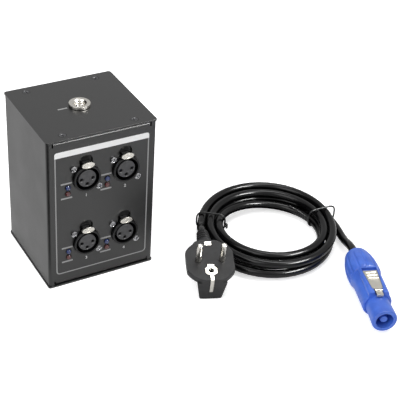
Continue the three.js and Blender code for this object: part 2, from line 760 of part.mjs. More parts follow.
// One earth clip: at the near edge it turns down the grip, at the far edge it only turns over, and a
// strap inside the body joins the two
function nearEarth(spare) {
  const lowZ = spare > 0 ? recessZ : earthLowZ;
  const topZ = spare > 0 ? plugFaceZ + overrun : earthTopZ;
  const nearY = spare > 0 ? -plugHalfLength - overrun : seatGap - plugHalfLength;
  const backY = seatGap - plugHalfLength + earthSheet + spare;
  const plate = slabAlongZ(nearEarthOutline(spare, nearY), lowZ, topZ);
  const stripHalfWidth = earthStripHalfWidth + spare;
  const strip = block([-stripHalfWidth, stripHalfWidth], [nearY, backY], [earthStripLowZ - spare, topZ]);
  return [plate, strip];
}

function earthStrap(spare) {
  const x = earthStrapHalfWidth + spare;
  const y = plugHalfLength - earthSheet + spare;
  return block([-x, x], [-y, y], [earthStrapZ - spare, earthStrapZ + earthSheet + spare]);
}

function farEarth(spare) {
  const lowZ = spare > 0 ? recessZ : earthLowZ;
  const topZ = spare > 0 ? plugFaceZ + overrun : earthTopZ;
  const farY = spare > 0 ? plugHalfLength + overrun : plugHalfLength - seatGap;
  const innerY = plugHalfLength - seatGap - farContactLength - spare;
  const halfWidth = earthTabHalfWidth + spare;
  const plate = block([-halfWidth, halfWidth], [innerY, farY], [lowZ, topZ]);
  const lip = block([-halfWidth, halfWidth], [plugHalfLength - seatGap - earthSheet - spare, farY],
    [earthStrapZ - spare, topZ]);
  return [plate, lip];
}

function plugPins(radius, lowZ, topZ) {
  const profile = [[0, lowZ], [radius, lowZ], [radius, topZ - plugPinTip], [radius - plugPinTip, topZ], [0, topZ]];
  return [-plugPinSpacing / 2, plugPinSpacing / 2].map((x) =>
    turnedAlongZ(profile, screwSides).translate(x, 0, 0));
}

function plugBody() {
  const radius = plugDiameter / 2;
  const rimZ = plugFaceZ - plugRimHeight;
  const disc = joined(turnedAlongZ([[0, rimZ - plugBevelHeight], [radius - plugBevel, rimZ - plugBevelHeight],
    [radius - plugEdge, rimZ], [radius, rimZ + plugEdge], [radius, plugFaceZ - plugEdge],
    [radius - plugEdge, plugFaceZ], [0, plugFaceZ]], plugSides));
  const trimmed = disc.intersect(solid(block([-plugHalfWidth, plugHalfWidth],
    [-plugHalfLength, plugHalfLength], [0, plugFaceZ])));
  const section = new THREE.Shape();
  section.moveTo(-gripTopHalfWidth, gripHeight);
  section.lineTo(-gripFootHalfWidth, gripCorner);
  section.quadraticCurveTo(-gripFootHalfWidth, 0, gripCorner - gripFootHalfWidth, 0);
  section.lineTo(gripFootHalfWidth - gripCorner, 0);
  section.quadraticCurveTo(gripFootHalfWidth, 0, gripFootHalfWidth, gripCorner);
  section.lineTo(gripTopHalfWidth, gripHeight);
  const grip = slabAlongY(section, -plugHalfLength, gripEndY);
  const neck = turnedAlongY([[0, -gripSunk], [neckRadius, -gripSunk], [neckRadius, 0],
    [neckEndRadius, neckLength], [0, neckLength]], screwSides).rotateX(-plugLean)
    .translate(0, gripEndY, neckHeight);
  const whole = trimmed.add(solid(grip)).add(solid(neck));
  const earthHole = rodAlongZ(earthHoleRadius, plugFaceZ - earthHoleDepth, plugFaceZ + overrun, screwSides)
    .translate(0, earthHoleY, 0);
  const pinHoles = plugPins(plugPinRadius + seatGap, plugFaceZ - plugPinSeat - seatGap,
    plugFaceZ + overrun + plugPinTip);
  return cutBy(whole, ...nearEarth(seatGap), ...farEarth(seatGap), earthStrap(seatGap), earthHole, ...pinHoles);
}

function plugEarthClip() {
  const earthHole = rodAlongZ(earthHoleRadius, earthStrapZ - overrun, plugFaceZ + overrun, screwSides)
    .translate(0, earthHoleY, 0);
  return cutBy(joined(...nearEarth(0), ...farEarth(0), earthStrap(0)), earthHole);
}

// The neck bends back to level, and the strain relief goes on from it with ribs that shrink towards
// the cord
const reliefRibs = 5;
const reliefStartRadius = 6.3;
const reliefEndRadius = 5;
const reliefGroove = 1.1;
const ribShare = 0.6;

function strainRelief() {
  const startY = neckLength + seatGap;
  const pitch = (reliefEndAlong - startY) / (reliefRibs - 1 + ribShare);
  const profile = [[0, startY]];
  for (let rib = 0; rib < reliefRibs; rib += 1) {
    const outer = THREE.MathUtils.lerp(reliefStartRadius, reliefEndRadius, rib / (reliefRibs - 1));
    const ribY = startY + rib * pitch;
    profile.push([outer, ribY], [outer, ribY + pitch * ribShare]);
    if (rib < reliefRibs - 1) {
      profile.push([outer - reliefGroove, ribY + pitch * ribShare], [outer - reliefGroove, ribY + pitch]);
    }
  }
  profile.push([0, reliefEndAlong]);
  return joined(turnedAlongY(profile, contactHoleSides).translate(0, neckPlace.y, neckPlace.z));
}

const plugGroup = new THREE.Group();
plugGroup.position.copy(plugPlace);
plugGroup.rotation.z = plugHeading - Math.PI / 2;
model.add(plugGroup);
const leaningGroup = new THREE.Group();
leaningGroup.rotation.x = plugLean;
leaningGroup.position.set(0, plugHalfLength * (Math.cos(plugLean) - 1), plugHalfLength * Math.sin(plugLean));
leaningGroup.updateMatrix();
plugGroup.add(leaningGroup);
const neckPlace = new THREE.Vector3(0, gripEndY, neckHeight).applyMatrix4(leaningGroup.matrix);
addPiece(leaningGroup, 'plug_body', plugBody(), plugRubber);
plugPins(plugPinRadius, plugFaceZ - plugPinSeat, plugFaceZ + plugPinLength).forEach((pin, index) =>
  addPiece(leaningGroup, `plug_pin_${index + 1}`, joined(pin), nickel));
addPiece(leaningGroup, 'plug_earth_clip', plugEarthClip(), nickel);
addPiece(plugGroup, 'plug_strain_relief', strainRelief(), plugRubber);

// The locking connector lies with its latch up. Its group's +Y runs from the cord to the nose.
const connectorPlace = new THREE.Vector3(193.7, -122.7, connectorDiameter / 2);
const connectorHeading = THREE.MathUtils.degToRad(-110);
const connectorRadius = connectorDiameter / 2;
const capEndShare = 0.385;
const capProfileShares = [[0.36, 0], [0.64, 0.03], [0.75, 0.076], [0.88, 0.152], [0.95, 0.228], [0.975, 0.304],
  [0.96, 0.361], [0.9, 0.385]];
const capRibs = 12;
const capRibWidth = 1.2;
const capRibProfileShares = [[0.095, 0.7], [0.114, 0.85], [0.257, 0.99], [0.304, 0.99], [0.323, 0.9]];
const connectorSides = 24;

function connectorCap() {
  const profile = capProfileShares.map(([across, along]) => [connectorRadius * across, connectorLength * along]);
  const capEndY = connectorLength * capEndShare;
  const shell = turnedAlongY([[0, 0], ...profile, [0, capEndY]], connectorSides);
  const ribOutline = polygon(capRibProfileShares.map(([along, across]) =>
    [connectorLength * along, connectorRadius * across]));
  const ribs = Array.from({ length: capRibs }, (_, rib) =>
    slabAlongX(ribOutline, -capRibWidth / 2, capRibWidth / 2).rotateY(2 * Math.PI * rib / capRibs));
  return joined(shell, ...ribs);
}

const noseStartY = 66;
const noseRadius = 9.5;
const noseTipRadius = 10.2;
const noseEdge = 0.5;
const noseBoreRadius = 7;
const noseBoreDepth = 16;
const bodyWaistRadius = 11.8;
const shoulderDrop = 1;
const saddleHalfWidth = 8.2;
const saddleTop = 12.4;
const saddleEdge = 1.4;

const latchRearY = 38;
const latchShoulderY = 60.5;
const latchFrontY = 69;
const latchHalfWidth = 6;
const latchShoulderHalfWidth = 4.3;
const tongueHalfWidth = 2.7;
const crossbarHalfWidth = 3.3;
const crossbarY = 62.3;
const latchFloor = 10;
const latchThickness = 2;
const latchTravel = 3.2;
const latchRibs = 3;
const latchFirstRibY = 42;
const latchRibPitch = 3.6;
const latchRibLength = 1.7;
const latchRibHeight = 1.2;
const latchRibHalfWidth = 4.5;

// The latch's outline seen from above, and the channel that it slides back in
function latchOutline(spare, back, noseHalfWidth) {
  const wide = latchHalfWidth + spare;
  const shoulder = latchShoulderHalfWidth + spare;
  const nose = noseHalfWidth + spare;
  const shoulderY = latchShoulderY + spare;
  const right = [[wide, latchRearY - back - spare], [wide, latchRearY], [shoulder, shoulderY],
    [nose, shoulderY], [nose, latchFrontY + spare]];
  return polygon([...right, ...right.map(([x, y]) => [-x, y]).reverse()]);
}

function connectorHousing() {
  const rearY = connectorLength * capEndShare + seatGap;
  const boreY = connectorLength - noseBoreDepth;
  const shell = turnedAlongY([[0, rearY], [bodyWaistRadius + shoulderDrop, rearY],
    [bodyWaistRadius, latchRearY], [bodyWaistRadius, noseStartY - shoulderDrop],
    [bodyWaistRadius - shoulderDrop, noseStartY], [noseRadius, noseStartY],
    [noseTipRadius, connectorLength - 2 * noseEdge], [noseTipRadius - noseEdge, connectorLength],
    [noseBoreRadius, connectorLength], [noseBoreRadius, boreY], [0, boreY]], connectorSides);
  const saddleOutline = polygon([[-saddleHalfWidth, 0], [saddleHalfWidth, 0],
    [saddleHalfWidth, saddleTop - saddleEdge], [saddleHalfWidth - saddleEdge, saddleTop],
    [saddleEdge - saddleHalfWidth, saddleTop], [-saddleHalfWidth, saddleTop - saddleEdge]]);
  const saddle = slabAlongY(saddleOutline, rearY, noseStartY);
  const channel = slabAlongZ(latchOutline(seatGap, latchTravel, crossbarHalfWidth), latchFloor, connectorRadius);
  return cutBy(joined(shell, saddle), channel);
}

function connectorLatch() {
  const floorZ = latchFloor + seatGap;
  const topZ = floorZ + latchThickness;
  const plate = slabAlongZ(latchOutline(0, 0, tongueHalfWidth), floorZ, topZ);
  const ribs = Array.from({ length: latchRibs }, (_, rib) => {
    const ribY = latchFirstRibY + rib * latchRibPitch;
    return block([-latchRibHalfWidth, latchRibHalfWidth], [ribY, ribY + latchRibLength],
      [floorZ, topZ + latchRibHeight]);
  });
  const crossbar = block([-crossbarHalfWidth, crossbarHalfWidth], [crossbarY, crossbarY + latchRibLength],
    [floorZ, topZ + latchRibHeight / 2]);
  return joined(plate, ...ribs, crossbar);
}

const postRadiusInNose = 3.1;
const coreFlangeRadius = noseBoreRadius - seatGap;
const coreFlangeHeight = 3;
const corePostRecess = 2;

function connectorCore() {
  const floorY = connectorLength - noseBoreDepth + seatGap;
  const endY = connectorLength - corePostRecess;
  return joined(turnedAlongY([[0, floorY], [coreFlangeRadius, floorY],
    [coreFlangeRadius, floorY + coreFlangeHeight], [postRadiusInNose, floorY + coreFlangeHeight],
    [postRadiusInNose, endY - noseEdge], [postRadiusInNose - noseEdge, endY], [0, endY]], lightSides));
}

const connectorGroup = new THREE.Group();
connectorGroup.position.copy(connectorPlace);
connectorGroup.rotation.z = connectorHeading - Math.PI / 2;
model.add(connectorGroup);
addPiece(connectorGroup, 'connector_cap', connectorCap(), blueNylon);
addPiece(connectorGroup, 'connector_housing', connectorHousing(), blueNylon);
addPiece(connectorGroup, 'connector_core', connectorCore(), blueNylon);
addPiece(connectorGroup, 'connector_latch', connectorLatch(), nickel);

// The coil: clockwise from the plug's side, spiralling in on the upper layer and out again on the
// lower one. It is drawn together at the two ties and looser between them.
const coilMiddle = new THREE.Vector2(151.1, -56.5);
const coilStartAngle = THREE.MathUtils.degToRad(150);
const coilEndAngle = THREE.MathUtils.degToRad(-10);
const tightAngle = THREE.MathUtils.degToRad(-30);
const coilFullTurns = 4;
const endOutsetTurns = 0.2;
const coilBulge = 6;
const coilSpread = 4.2;
const dropTurns = 0.5;
const loopSteps = 24;
const loopSides = 6;
const tieDiameter = 1.6;
const coilBaseZ = tieDiameter + 2 * 0.2;
const coilTurns = coilFullTurns + (coilStartAngle - coilEndAngle) / (2 * Math.PI);
const turnsInAndOut = coilTurns - endOutsetTurns;
const cordRadius = cordDiameter / 2;

// How many pitches a place on the coil lies inside its first turn
function inwardTurns(turn) {
  return Math.min(turn, turnsInAndOut - turn);
}

function looseness(angle) {
  return Math.sin(angle - tightAngle) ** 2;
}

function coilPoint(turn) {
  const angle = coilStartAngle - 2 * Math.PI * turn;
  const loose = looseness(angle);
  const radius = coilRadius + coilBulge * loose - (coilPitch + coilSpread * loose) * inwardTurns(turn);
  const dropped = THREE.MathUtils.smoothstep(turn, (turnsInAndOut - dropTurns) / 2,
    (turnsInAndOut + dropTurns) / 2);
  return new THREE.Vector3(coilMiddle.x + radius * Math.cos(angle), coilMiddle.y + radius * Math.sin(angle),
    coilBaseZ + cordRadius + layerRise * (1 - dropped));
}

// The ends run straight for half a cord diameter
function coilPoints() {
  const steps = Math.round(coilTurns * loopSteps);
  const points = Array.from({ length: steps + 1 }, (_, step) => coilPoint(coilTurns * step / steps));
  const startWay = points[0].clone().sub(points[1]).setZ(0).setLength(cordRadius);
  const endWay = points[steps].clone().sub(points[steps - 1]).setZ(0).setLength(cordRadius);
  return [points[0].clone().add(startWay), ...points, points[steps].clone().add(endWay)];
}

// A closed tube through every point, with one ring at each. The rings share one upward direction.
function tubeThrough(points, radius, sides, up, isLoop) {
  const count = points.length;
  const positions = [];
  const corners = [];
  for (let i = 0; i < count; i += 1) {
    const before = points[isLoop ? (i + count - 1) % count : Math.max(i - 1, 0)];
    const after = points[isLoop ? (i + 1) % count : Math.min(i + 1, count - 1)];
    const way = after.clone().sub(before).normalize();
    const side = way.clone().cross(up).normalize();
    const lift = side.clone().cross(way);
    for (let j = 0; j < sides; j += 1) {
      const turn = 2 * Math.PI * (j + 0.5) / sides;
      const place = points[i].clone().addScaledVector(side, radius * Math.cos(turn));
      positions.push(...place.addScaledVector(lift, radius * Math.sin(turn)).toArray());
    }
  }
  for (let i = 0; i < (isLoop ? count : count - 1); i += 1) {
    for (let j = 0; j < sides; j += 1) {
      const a = i * sides + j;
      const b = i * sides + (j + 1) % sides;
      const c = ((i + 1) % count) * sides + j;
      const d = ((i + 1) % count) * sides + (j + 1) % sides;
      corners.push(a, b, c, b, d, c);
    }
  }
  for (let j = 1; j < sides - 1 && !isLoop; j += 1) {
    const last = (count - 1) * sides;
    corners.push(0, j + 1, j, last, last + j, last + j + 1);
  }
  const geometry = new THREE.BufferGeometry();
  geometry.setAttribute('position', new THREE.BufferAttribute(new Float32Array(positions), 3));
  geometry.setAttribute('normal', new THREE.BufferAttribute(new Float32Array(positions.length), 3));
  geometry.setIndex(corners);
  return geometry;
}

// The least distance between stretches of the coil that aren't neighbours along it, less the cord
function leastGap(points) {
  const fine = new THREE.CurvePath();
  points.slice(1).forEach((point, i) => fine.add(new THREE.LineCurve3(points[i], point)));
  const places = fine.getSpacedPoints(points.length * 4);
  const apart = Math.ceil(2 * Math.PI * coilRadius / fine.getLength() * places.length / 4);
  let least = Infinity;
  for (let i = 0; i < places.length; i += 1) {
    for (let j = i + apart; j < places.length; j += 1) {
      least = Math.min(least, places[i].distanceTo(places[j]));
    }
  }
  return least - cordDiameter;
}

const upward = new THREE.Vector3(0, 0, 1);
const wound = coilPoints();
console.log(`coil: ${coilTurns.toFixed(2)} turns, least gap to itself ${leastGap(wound).toFixed(2)} mm`);
addPiece(model, 'lead_coil', joined(tubeThrough(wound, cordRadius, loopSides, upward, false)), cordPvc);

// The free stretches leave and arrive square to what they meet. Each stays level for a share of its
// length, and then rises or falls along two equal arcs.
const stretchArcSteps = 5;
const stretchSteps = 8;
const endStraight = 0.8;
const levelShareToPlug = 0;
const levelShareToConnector = 0.24;

function freeStretch(fromPoint, fromWay, toPoint, toWay, levelShare) {
  const start = fromPoint.clone().addScaledVector(fromWay, seatGap);
  const end = toPoint.clone().addScaledVector(toWay, -seatGap);
  const reach = start.distanceTo(end) / 3;
  const plan = new THREE.CubicBezierCurve3(start, start.clone().addScaledVector(fromWay, reach),
    end.clone().addScaledVector(toWay, -reach), end);
  const middles = plan.getPoints(stretchSteps).map((point, step) => {
    const along = Math.max(0, (step / stretchSteps - levelShare) / (1 - levelShare));
    const eased = along < 0.5 ? 2 * along ** 2 : 1 - 2 * (1 - along) ** 2;
    return point.setZ(THREE.MathUtils.lerp(start.z, end.z, eased));
  }).slice(1, -1);
  const points = [start, start.clone().addScaledVector(fromWay, endStraight), ...middles,
    end.clone().addScaledVector(toWay, -endStraight), end];
  const section = new THREE.Shape();
  section.absarc(0, 0, cordRadius, 0, 2 * Math.PI);
  return new THREE.ExtrudeGeometry(section, { steps: stretchSteps, curveSegments: stretchArcSteps,
    bevelEnabled: false, extrudePath: new THREE.CatmullRomCurve3(points, false, 'centripetal') });
}

const plugWay = new THREE.Vector3(Math.cos(plugHeading), Math.sin(plugHeading), 0);
const reliefEnd = plugPlace.clone().addScaledVector(plugWay, neckPlace.y + reliefEndAlong).setZ(neckPlace.z);
const coilWayIn = wound[1].clone().sub(wound[0]).normalize();
const connectorWay = new THREE.Vector3(Math.cos(connectorHeading), Math.sin(connectorHeading), 0);
const coilWayOut = wound.at(-1).clone().sub(wound.at(-2)).normalize();
addPiece(model, 'lead_to_plug', joined(freeStretch(reliefEnd, plugWay, wound[0], coilWayIn,
  levelShareToPlug)), cordPvc);
addPiece(model, 'lead_to_connector', joined(freeStretch(wound.at(-1), coilWayOut, connectorPlace,
  connectorWay, levelShareToConnector)), cordPvc);

// Each tie loops round the bundle, and its twisted ends lie inside the coil
const tieRadius = tieDiameter / 2;
const tieGap = 0.6;
const tieTailRadius = 1.3;
const tieTailInset = 2.2;
const leftTie = { angle: THREE.MathUtils.degToRad(143), tailTurn: THREE.MathUtils.degToRad(16), tailRise: 0 };
const rightTie = { angle: THREE.MathUtils.degToRad(-3), tailTurn: THREE.MathUtils.degToRad(34), tailRise: 2 };
const tailSteps = 6;

function cordTie({ angle, tailTurn, tailRise }) {
  const loose = looseness(angle);
  const firstTurn = (coilStartAngle - angle) / (2 * Math.PI);
  const inward = Array.from({ length: coilFullTurns + 1 }, (_, turn) => inwardTurns(firstTurn + turn));
  const radiusOf = (turns) => coilRadius + coilBulge * loose - turns * (coilPitch + coilSpread * loose);
  const outerEdge = radiusOf(Math.min(...inward)) + cordRadius + tieGap + tieRadius;
  const innerEdge = radiusOf(Math.max(...inward)) - cordRadius - tieGap - tieRadius;
  const lowEdge = coilBaseZ - tieGap / 2 - tieRadius;
  const highEdge = coilBaseZ + cordDiameter + layerRise + tieGap + tieRadius;
  const loop = roundedRectangle(outerEdge - innerEdge, highEdge - lowEdge, cordRadius + tieGap + tieRadius);
  const outward = new THREE.Vector3(Math.cos(angle), Math.sin(angle), 0);
  const middle = new THREE.Vector3(coilMiddle.x, coilMiddle.y, (lowEdge + highEdge) / 2)
    .addScaledVector(outward, (outerEdge + innerEdge) / 2);
  const around = loop.getPoints(3).slice(0, -1).map((point) =>
    middle.clone().addScaledVector(outward, point.x).addScaledVector(upward, point.y));
  const aside = outward.clone().cross(upward);
  const ring = tubeThrough(around, tieRadius, loopSides, aside, true);
  const tail = Array.from({ length: tailSteps + 1 }, (_, step) => {
    const along = step / tailSteps;
    const radius = innerEdge - tieTailInset * Math.min(1, along * 3);
    const turn = angle + tailTurn * along;
    return new THREE.Vector3(coilMiddle.x + radius * Math.cos(turn), coilMiddle.y + radius * Math.sin(turn),
      middle.z + tailRise * along);
  });
  return joined(ring, tubeThrough(tail, tieTailRadius, loopSides, upward, false));
}

addPiece(model, 'lead_tie_left', cordTie(leftTie), blackPlastic);
addPiece(model, 'lead_tie_right', cordTie(rightTie), blackPlastic);

export default model;
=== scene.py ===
"""A four-way lighting-signal splitter in a folded steel box, with its coiled mains lead."""
import math

import bmesh
import bpy
from mathutils import Matrix, Quaternion, Vector


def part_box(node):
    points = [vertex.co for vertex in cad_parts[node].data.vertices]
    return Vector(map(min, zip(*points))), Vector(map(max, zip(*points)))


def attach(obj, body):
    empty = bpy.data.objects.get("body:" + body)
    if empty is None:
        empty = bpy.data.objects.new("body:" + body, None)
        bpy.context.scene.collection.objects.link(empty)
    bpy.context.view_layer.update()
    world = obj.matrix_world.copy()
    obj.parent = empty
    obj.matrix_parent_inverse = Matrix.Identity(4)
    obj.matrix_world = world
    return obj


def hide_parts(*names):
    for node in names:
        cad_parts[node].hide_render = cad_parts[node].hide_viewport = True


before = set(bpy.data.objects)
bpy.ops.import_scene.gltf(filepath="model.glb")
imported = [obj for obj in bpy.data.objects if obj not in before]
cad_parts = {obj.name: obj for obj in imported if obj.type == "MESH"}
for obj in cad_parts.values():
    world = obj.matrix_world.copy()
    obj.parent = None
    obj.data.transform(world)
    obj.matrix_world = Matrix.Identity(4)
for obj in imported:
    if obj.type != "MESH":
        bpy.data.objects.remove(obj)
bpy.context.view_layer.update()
MM = 0.001


# The studio: a pale floor under even white light, as in a catalogue picture. The camera stands
# in front and to the left of the box, looks down at it, and is tilted a little.
CAMERA_AZIMUTH = math.radians(-31.135)
CAMERA_ELEVATION = math.radians(34.053)
CAMERA_ROLL = math.radians(3.855)
CAMERA_PLACE = Vector((-309.8, -702.2, 568.8)) * MM
LENS_MM = 101.58
SENSOR_MM = 36
FLOOR_HALF = 6.0
WORLD_LIGHT = 0.62
LAMPS = [
    ("key_lamp", (-1.1, -0.35, 1.15), 1.3, 1.3, 12, True),
    ("fold_lamp", (0.58, -0.8, 1.0), 0.6, 0.22, 30, False),
    ("top_lamp", (0.45, 0.1, 1.5), 0.9, 0.35, 8, True),
]
LAMP_AIM = Vector((0.05, -0.03, 0.05))
PAPER_GLOW = 0.55
CARD_LIFT = 0.0004


def lying(left, right, near, far):
    """The corners of a card that lies just over the floor."""
    return ((left, near, CARD_LIFT), (right, near, CARD_LIFT), (right, far, CARD_LIFT),
            (left, far, CARD_LIFT))


CARDS = [
    ("left_front_flag", 0, lying(-0.6, -0.06, -0.6, -0.05)),
    ("right_flag", 0, lying(0.05, 0.3, -0.04, 0.3)),
    ("left_back_flag", 0, ((-1.5, 0.2, 0.12), (-0.3, 1.5, 0.12), (-0.3, 1.5, 1.3),
                           (-1.5, 0.2, 1.3))),
    ("left_card", 0.78, lying(-0.8, -0.05, -0.03, 0.8)),
]


def linear(hex_colour):
    """An sRGB colour such as "#2b2b2d" as Blender's linear RGBA."""
    parts = [int(hex_colour[i:i + 2], 16) / 255 for i in (1, 3, 5)]
    return [p / 12.92 if p <= 0.04045 else ((p + 0.055) / 1.055) ** 2.4 for p in parts] + [1.0]


def add_node(tree, kind, links=None, values=None, **settings):
    """One shader node with its settings, its socket values and what is plugged into it."""
    node = tree.nodes.new(kind)
    for name, setting in settings.items():
        setattr(node, name, setting)
    for name, value in (values or {}).items():
        node.inputs[name].default_value = value
    for name, source in (links or {}).items():
        tree.links.new(source, node.inputs[name])
    return node


camera = bpy.data.objects.new("camera", bpy.data.cameras.new("camera"))
camera.data.lens = LENS_MM
camera.data.sensor_width = SENSOR_MM
camera.location = CAMERA_PLACE
looking = Vector((
    -math.sin(CAMERA_AZIMUTH) * math.cos(CAMERA_ELEVATION),
    math.cos(CAMERA_AZIMUTH) * math.cos(CAMERA_ELEVATION),
    -math.sin(CAMERA_ELEVATION)))
camera.rotation_mode = "QUATERNION"
camera.rotation_quaternion = looking.to_track_quat("-Z", "Y") @ Quaternion((0, 0, 1), CAMERA_ROLL)
bpy.context.collection.objects.link(camera)
bpy.context.scene.camera = camera
bpy.context.scene.view_settings.view_transform = "Standard"

for lamp_name, lamp_place, lamp_width, lamp_height, lamp_power, lights_matt in LAMPS:
    lamp = bpy.data.objects.new(lamp_name, bpy.data.lights.new(lamp_name, "AREA"))
    lamp.data.shape = "RECTANGLE"
    lamp.data.size = lamp_width
    lamp.data.size_y = lamp_height
    lamp.data.energy = lamp_power
    lamp.location = lamp_place
    lamp.rotation_mode = "QUATERNION"
    lamp.rotation_quaternion = (LAMP_AIM - lamp.location).to_track_quat("-Z", "Y")
    lamp.visible_diffuse = lights_matt
    bpy.context.collection.objects.link(lamp)

world = bpy.data.worlds.new("white_studio")
world.use_nodes = True
world.node_tree.nodes.clear()
bpy.context.scene.world = world
ray = add_node(world.node_tree, "ShaderNodeLightPath")
seen = add_node(world.node_tree, "ShaderNodeMath", operation="MAXIMUM",
                links={0: ray.outputs["Is Camera Ray"], 1: ray.outputs["Is Transmission Ray"]})
room = add_node(world.node_tree, "ShaderNodeBackground",
                values={"Color": linear("#ffffff"), "Strength": WORLD_LIGHT})
white = add_node(world.node_tree, "ShaderNodeBackground",
                 values={"Color": linear("#ffffff"), "Strength": 1.0})
either = add_node(world.node_tree, "ShaderNodeMixShader",
                  links={0: seen.outputs[0], 1: room.outputs[0], 2: white.outputs[0]})
add_node(world.node_tree, "ShaderNodeOutputWorld", links={"Surface": either.outputs[0]})

floor_mesh = bpy.data.meshes.new("floor")
floor_mesh.from_pydata([(x * FLOOR_HALF, y * FLOOR_HALF, 0)
                        for x, y in ((-1, -1), (1, -1), (1, 1), (-1, 1))], [], [(0, 1, 2, 3)])
floor = bpy.data.objects.new("floor", floor_mesh)
bpy.context.collection.objects.link(floor)
paper = bpy.data.materials.new("white_paper_sweep")
paper.use_nodes = True
paper.node_tree.nodes.clear()
ray = add_node(paper.node_tree, "ShaderNodeLightPath")
matt = add_node(paper.node_tree, "ShaderNodeBsdfDiffuse", values={"Color": linear("#f6f6f6")})
glow = add_node(paper.node_tree, "ShaderNodeEmission",
                values={"Color": linear("#ffffff"), "Strength": PAPER_GLOW})
lit = add_node(paper.node_tree, "ShaderNodeAddShader",
               links={0: matt.outputs[0], 1: glow.outputs[0]})
shown = add_node(paper.node_tree, "ShaderNodeMixShader",
                 links={0: ray.outputs["Is Camera Ray"], 1: matt.outputs[0], 2: lit.outputs[0]})
add_node(paper.node_tree, "ShaderNodeOutputMaterial", links={"Surface": shown.outputs[0]})
floor_mesh.materials.append(paper)

# Flags of black felt and a white card that only shiny surfaces mirror: they draw the dark lines
# along the folds and the pale sheen of the left side
for card_name, brightness, corners in CARDS:
    cloth = bpy.data.materials.new(f"{card_name}_cloth")
    cloth.use_nodes = True
    cloth.node_tree.nodes.clear()
    sheen = add_node(cloth.node_tree, "ShaderNodeEmission",
                     values={"Color": linear("#ffffff"), "Strength": brightness})
    add_node(cloth.node_tree, "ShaderNodeOutputMaterial", links={"Surface": sheen.outputs[0]})
    card_mesh = bpy.data.meshes.new(card_name)
    card_mesh.from_pydata(corners, [], [(0, 1, 2, 3)])
    card_mesh.materials.append(cloth)
    card = bpy.data.objects.new(card_name, card_mesh)
    card.visible_camera = card.visible_diffuse = card.visible_shadow = False
    card.visible_transmission = False
    bpy.context.collection.objects.link(card)


# The box: one folded steel sleeve and two flat covers, all powder-coated black. The coat is
# satin, so it lifts to a soft grey where the room shines on it, with a fine grain in the gloss.
COAT_GRAIN_MM = 0.9
COAT_CLOUD_MM = 26
FOLD_EASE_MM = 0.3
LID_EASE_MM = 0.6
SAME_POINT = 2e-6
FLAT_DEGREES = 0.5
SHARP_DEGREES = 38
OUTPUTS = (1, 2, 3, 4)
SHEET = 1.5
RECESS_LOW = 9
RECESS_TOP = 19.8
RECESS_HALF_WIDTH = 5.1
RECESS_CORNER = 6


def new_finish(name, hex_colour, roughness, metallic=0.0):
    """A material's tree, its main shader and where on the object each point lies, in metres."""
    finish = bpy.data.materials.new(name)
    finish.use_nodes = True
    tree = finish.node_tree
    shader = tree.nodes["Principled BSDF"]
    shader.inputs["Base Color"].default_value = linear(hex_colour)
    shader.inputs["Roughness"].default_value = roughness
    shader.inputs["Metallic"].default_value = metallic
    place = add_node(tree, "ShaderNodeTexCoord").outputs["Object"]
    return finish, tree, shader, place


def grain(tree, shader, place, size_mm, depth_mm, strength=0.4, detail=3.0):
    """Fine unevenness of the surface, size_mm across."""
    noise = add_node(tree, "ShaderNodeTexNoise", links={"Vector": place},
                     values={"Scale": 1 / (size_mm * MM), "Detail": detail})
    bump = add_node(tree, "ShaderNodeBump", links={"Height": noise.outputs["Fac"]},
                    values={"Strength": strength, "Distance": depth_mm * MM})
    tree.links.new(bump.outputs["Normal"], shader.inputs["Normal"])
    return noise


def vary(tree, shader, place, socket, size_mm, low, high, stretch=(1, 1, 1)):
    """A slow change of one of the shader's values or colours over the surface, size_mm across."""
    mapped = add_node(tree, "ShaderNodeMapping", links={"Vector": place}, values={"Scale": stretch})
    noise = add_node(tree, "ShaderNodeTexNoise", links={"Vector": mapped.outputs["Vector"]},
                     values={"Scale": 1 / (size_mm * MM), "Detail": 2.0})
    ramp = add_node(tree, "ShaderNodeValToRGB", links={"Fac": noise.outputs["Fac"]})
    ends = ramp.color_ramp.elements
    ends[0].position, ends[1].position = 0.35, 0.65
    is_colour = isinstance(low, str)
    ends[0].color = linear(low) if is_colour else (low, low, low, 1)
    ends[1].color = linear(high) if is_colour else (high, high, high, 1)
    tree.links.new(ramp.outputs["Color"], shader.inputs[socket])


# Polyester powder coat, sprayed and baked: satin, very slightly pebbled, almost black
powder_coat, tree, shader, place = new_finish("black_powder_coat", "#171717", 0.4)
shader.inputs["Coat Weight"].default_value = 0.4
shader.inputs["Coat Roughness"].default_value = 0.3
grain(tree, shader, place, COAT_GRAIN_MM, 0.02, 0.18)
vary(tree, shader, place, "Roughness", COAT_CLOUD_MM, 0.35, 0.41)


def put(name, mesh, finish, rides="box", stands_for=(), frame_at=Matrix(),
        sharp=SHARP_DEGREES):
    """Makes a piece from a mesh in mm, at frame_at in metres, hangs it on the body it rides and
    hides the solids it stands for.
    """
    mesh.transform(frame_at @ Matrix.Scale(MM, 4))
    data = bpy.data.meshes.new(name)
    mesh.to_mesh(data)
    mesh.free()
    for face in data.polygons:
        face.use_smooth = True
    data.set_sharp_from_angle(angle=math.radians(sharp))
    data.materials.clear()
    data.materials.append(finish)
    piece = bpy.data.objects.new(name, data)
    bpy.context.collection.objects.link(piece)
    piece.modifiers.new("flat_faces_stay_flat", "WEIGHTED_NORMAL").keep_sharp = True
    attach(piece, rides)
    if stands_for:
        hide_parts(*stands_for)
    return piece


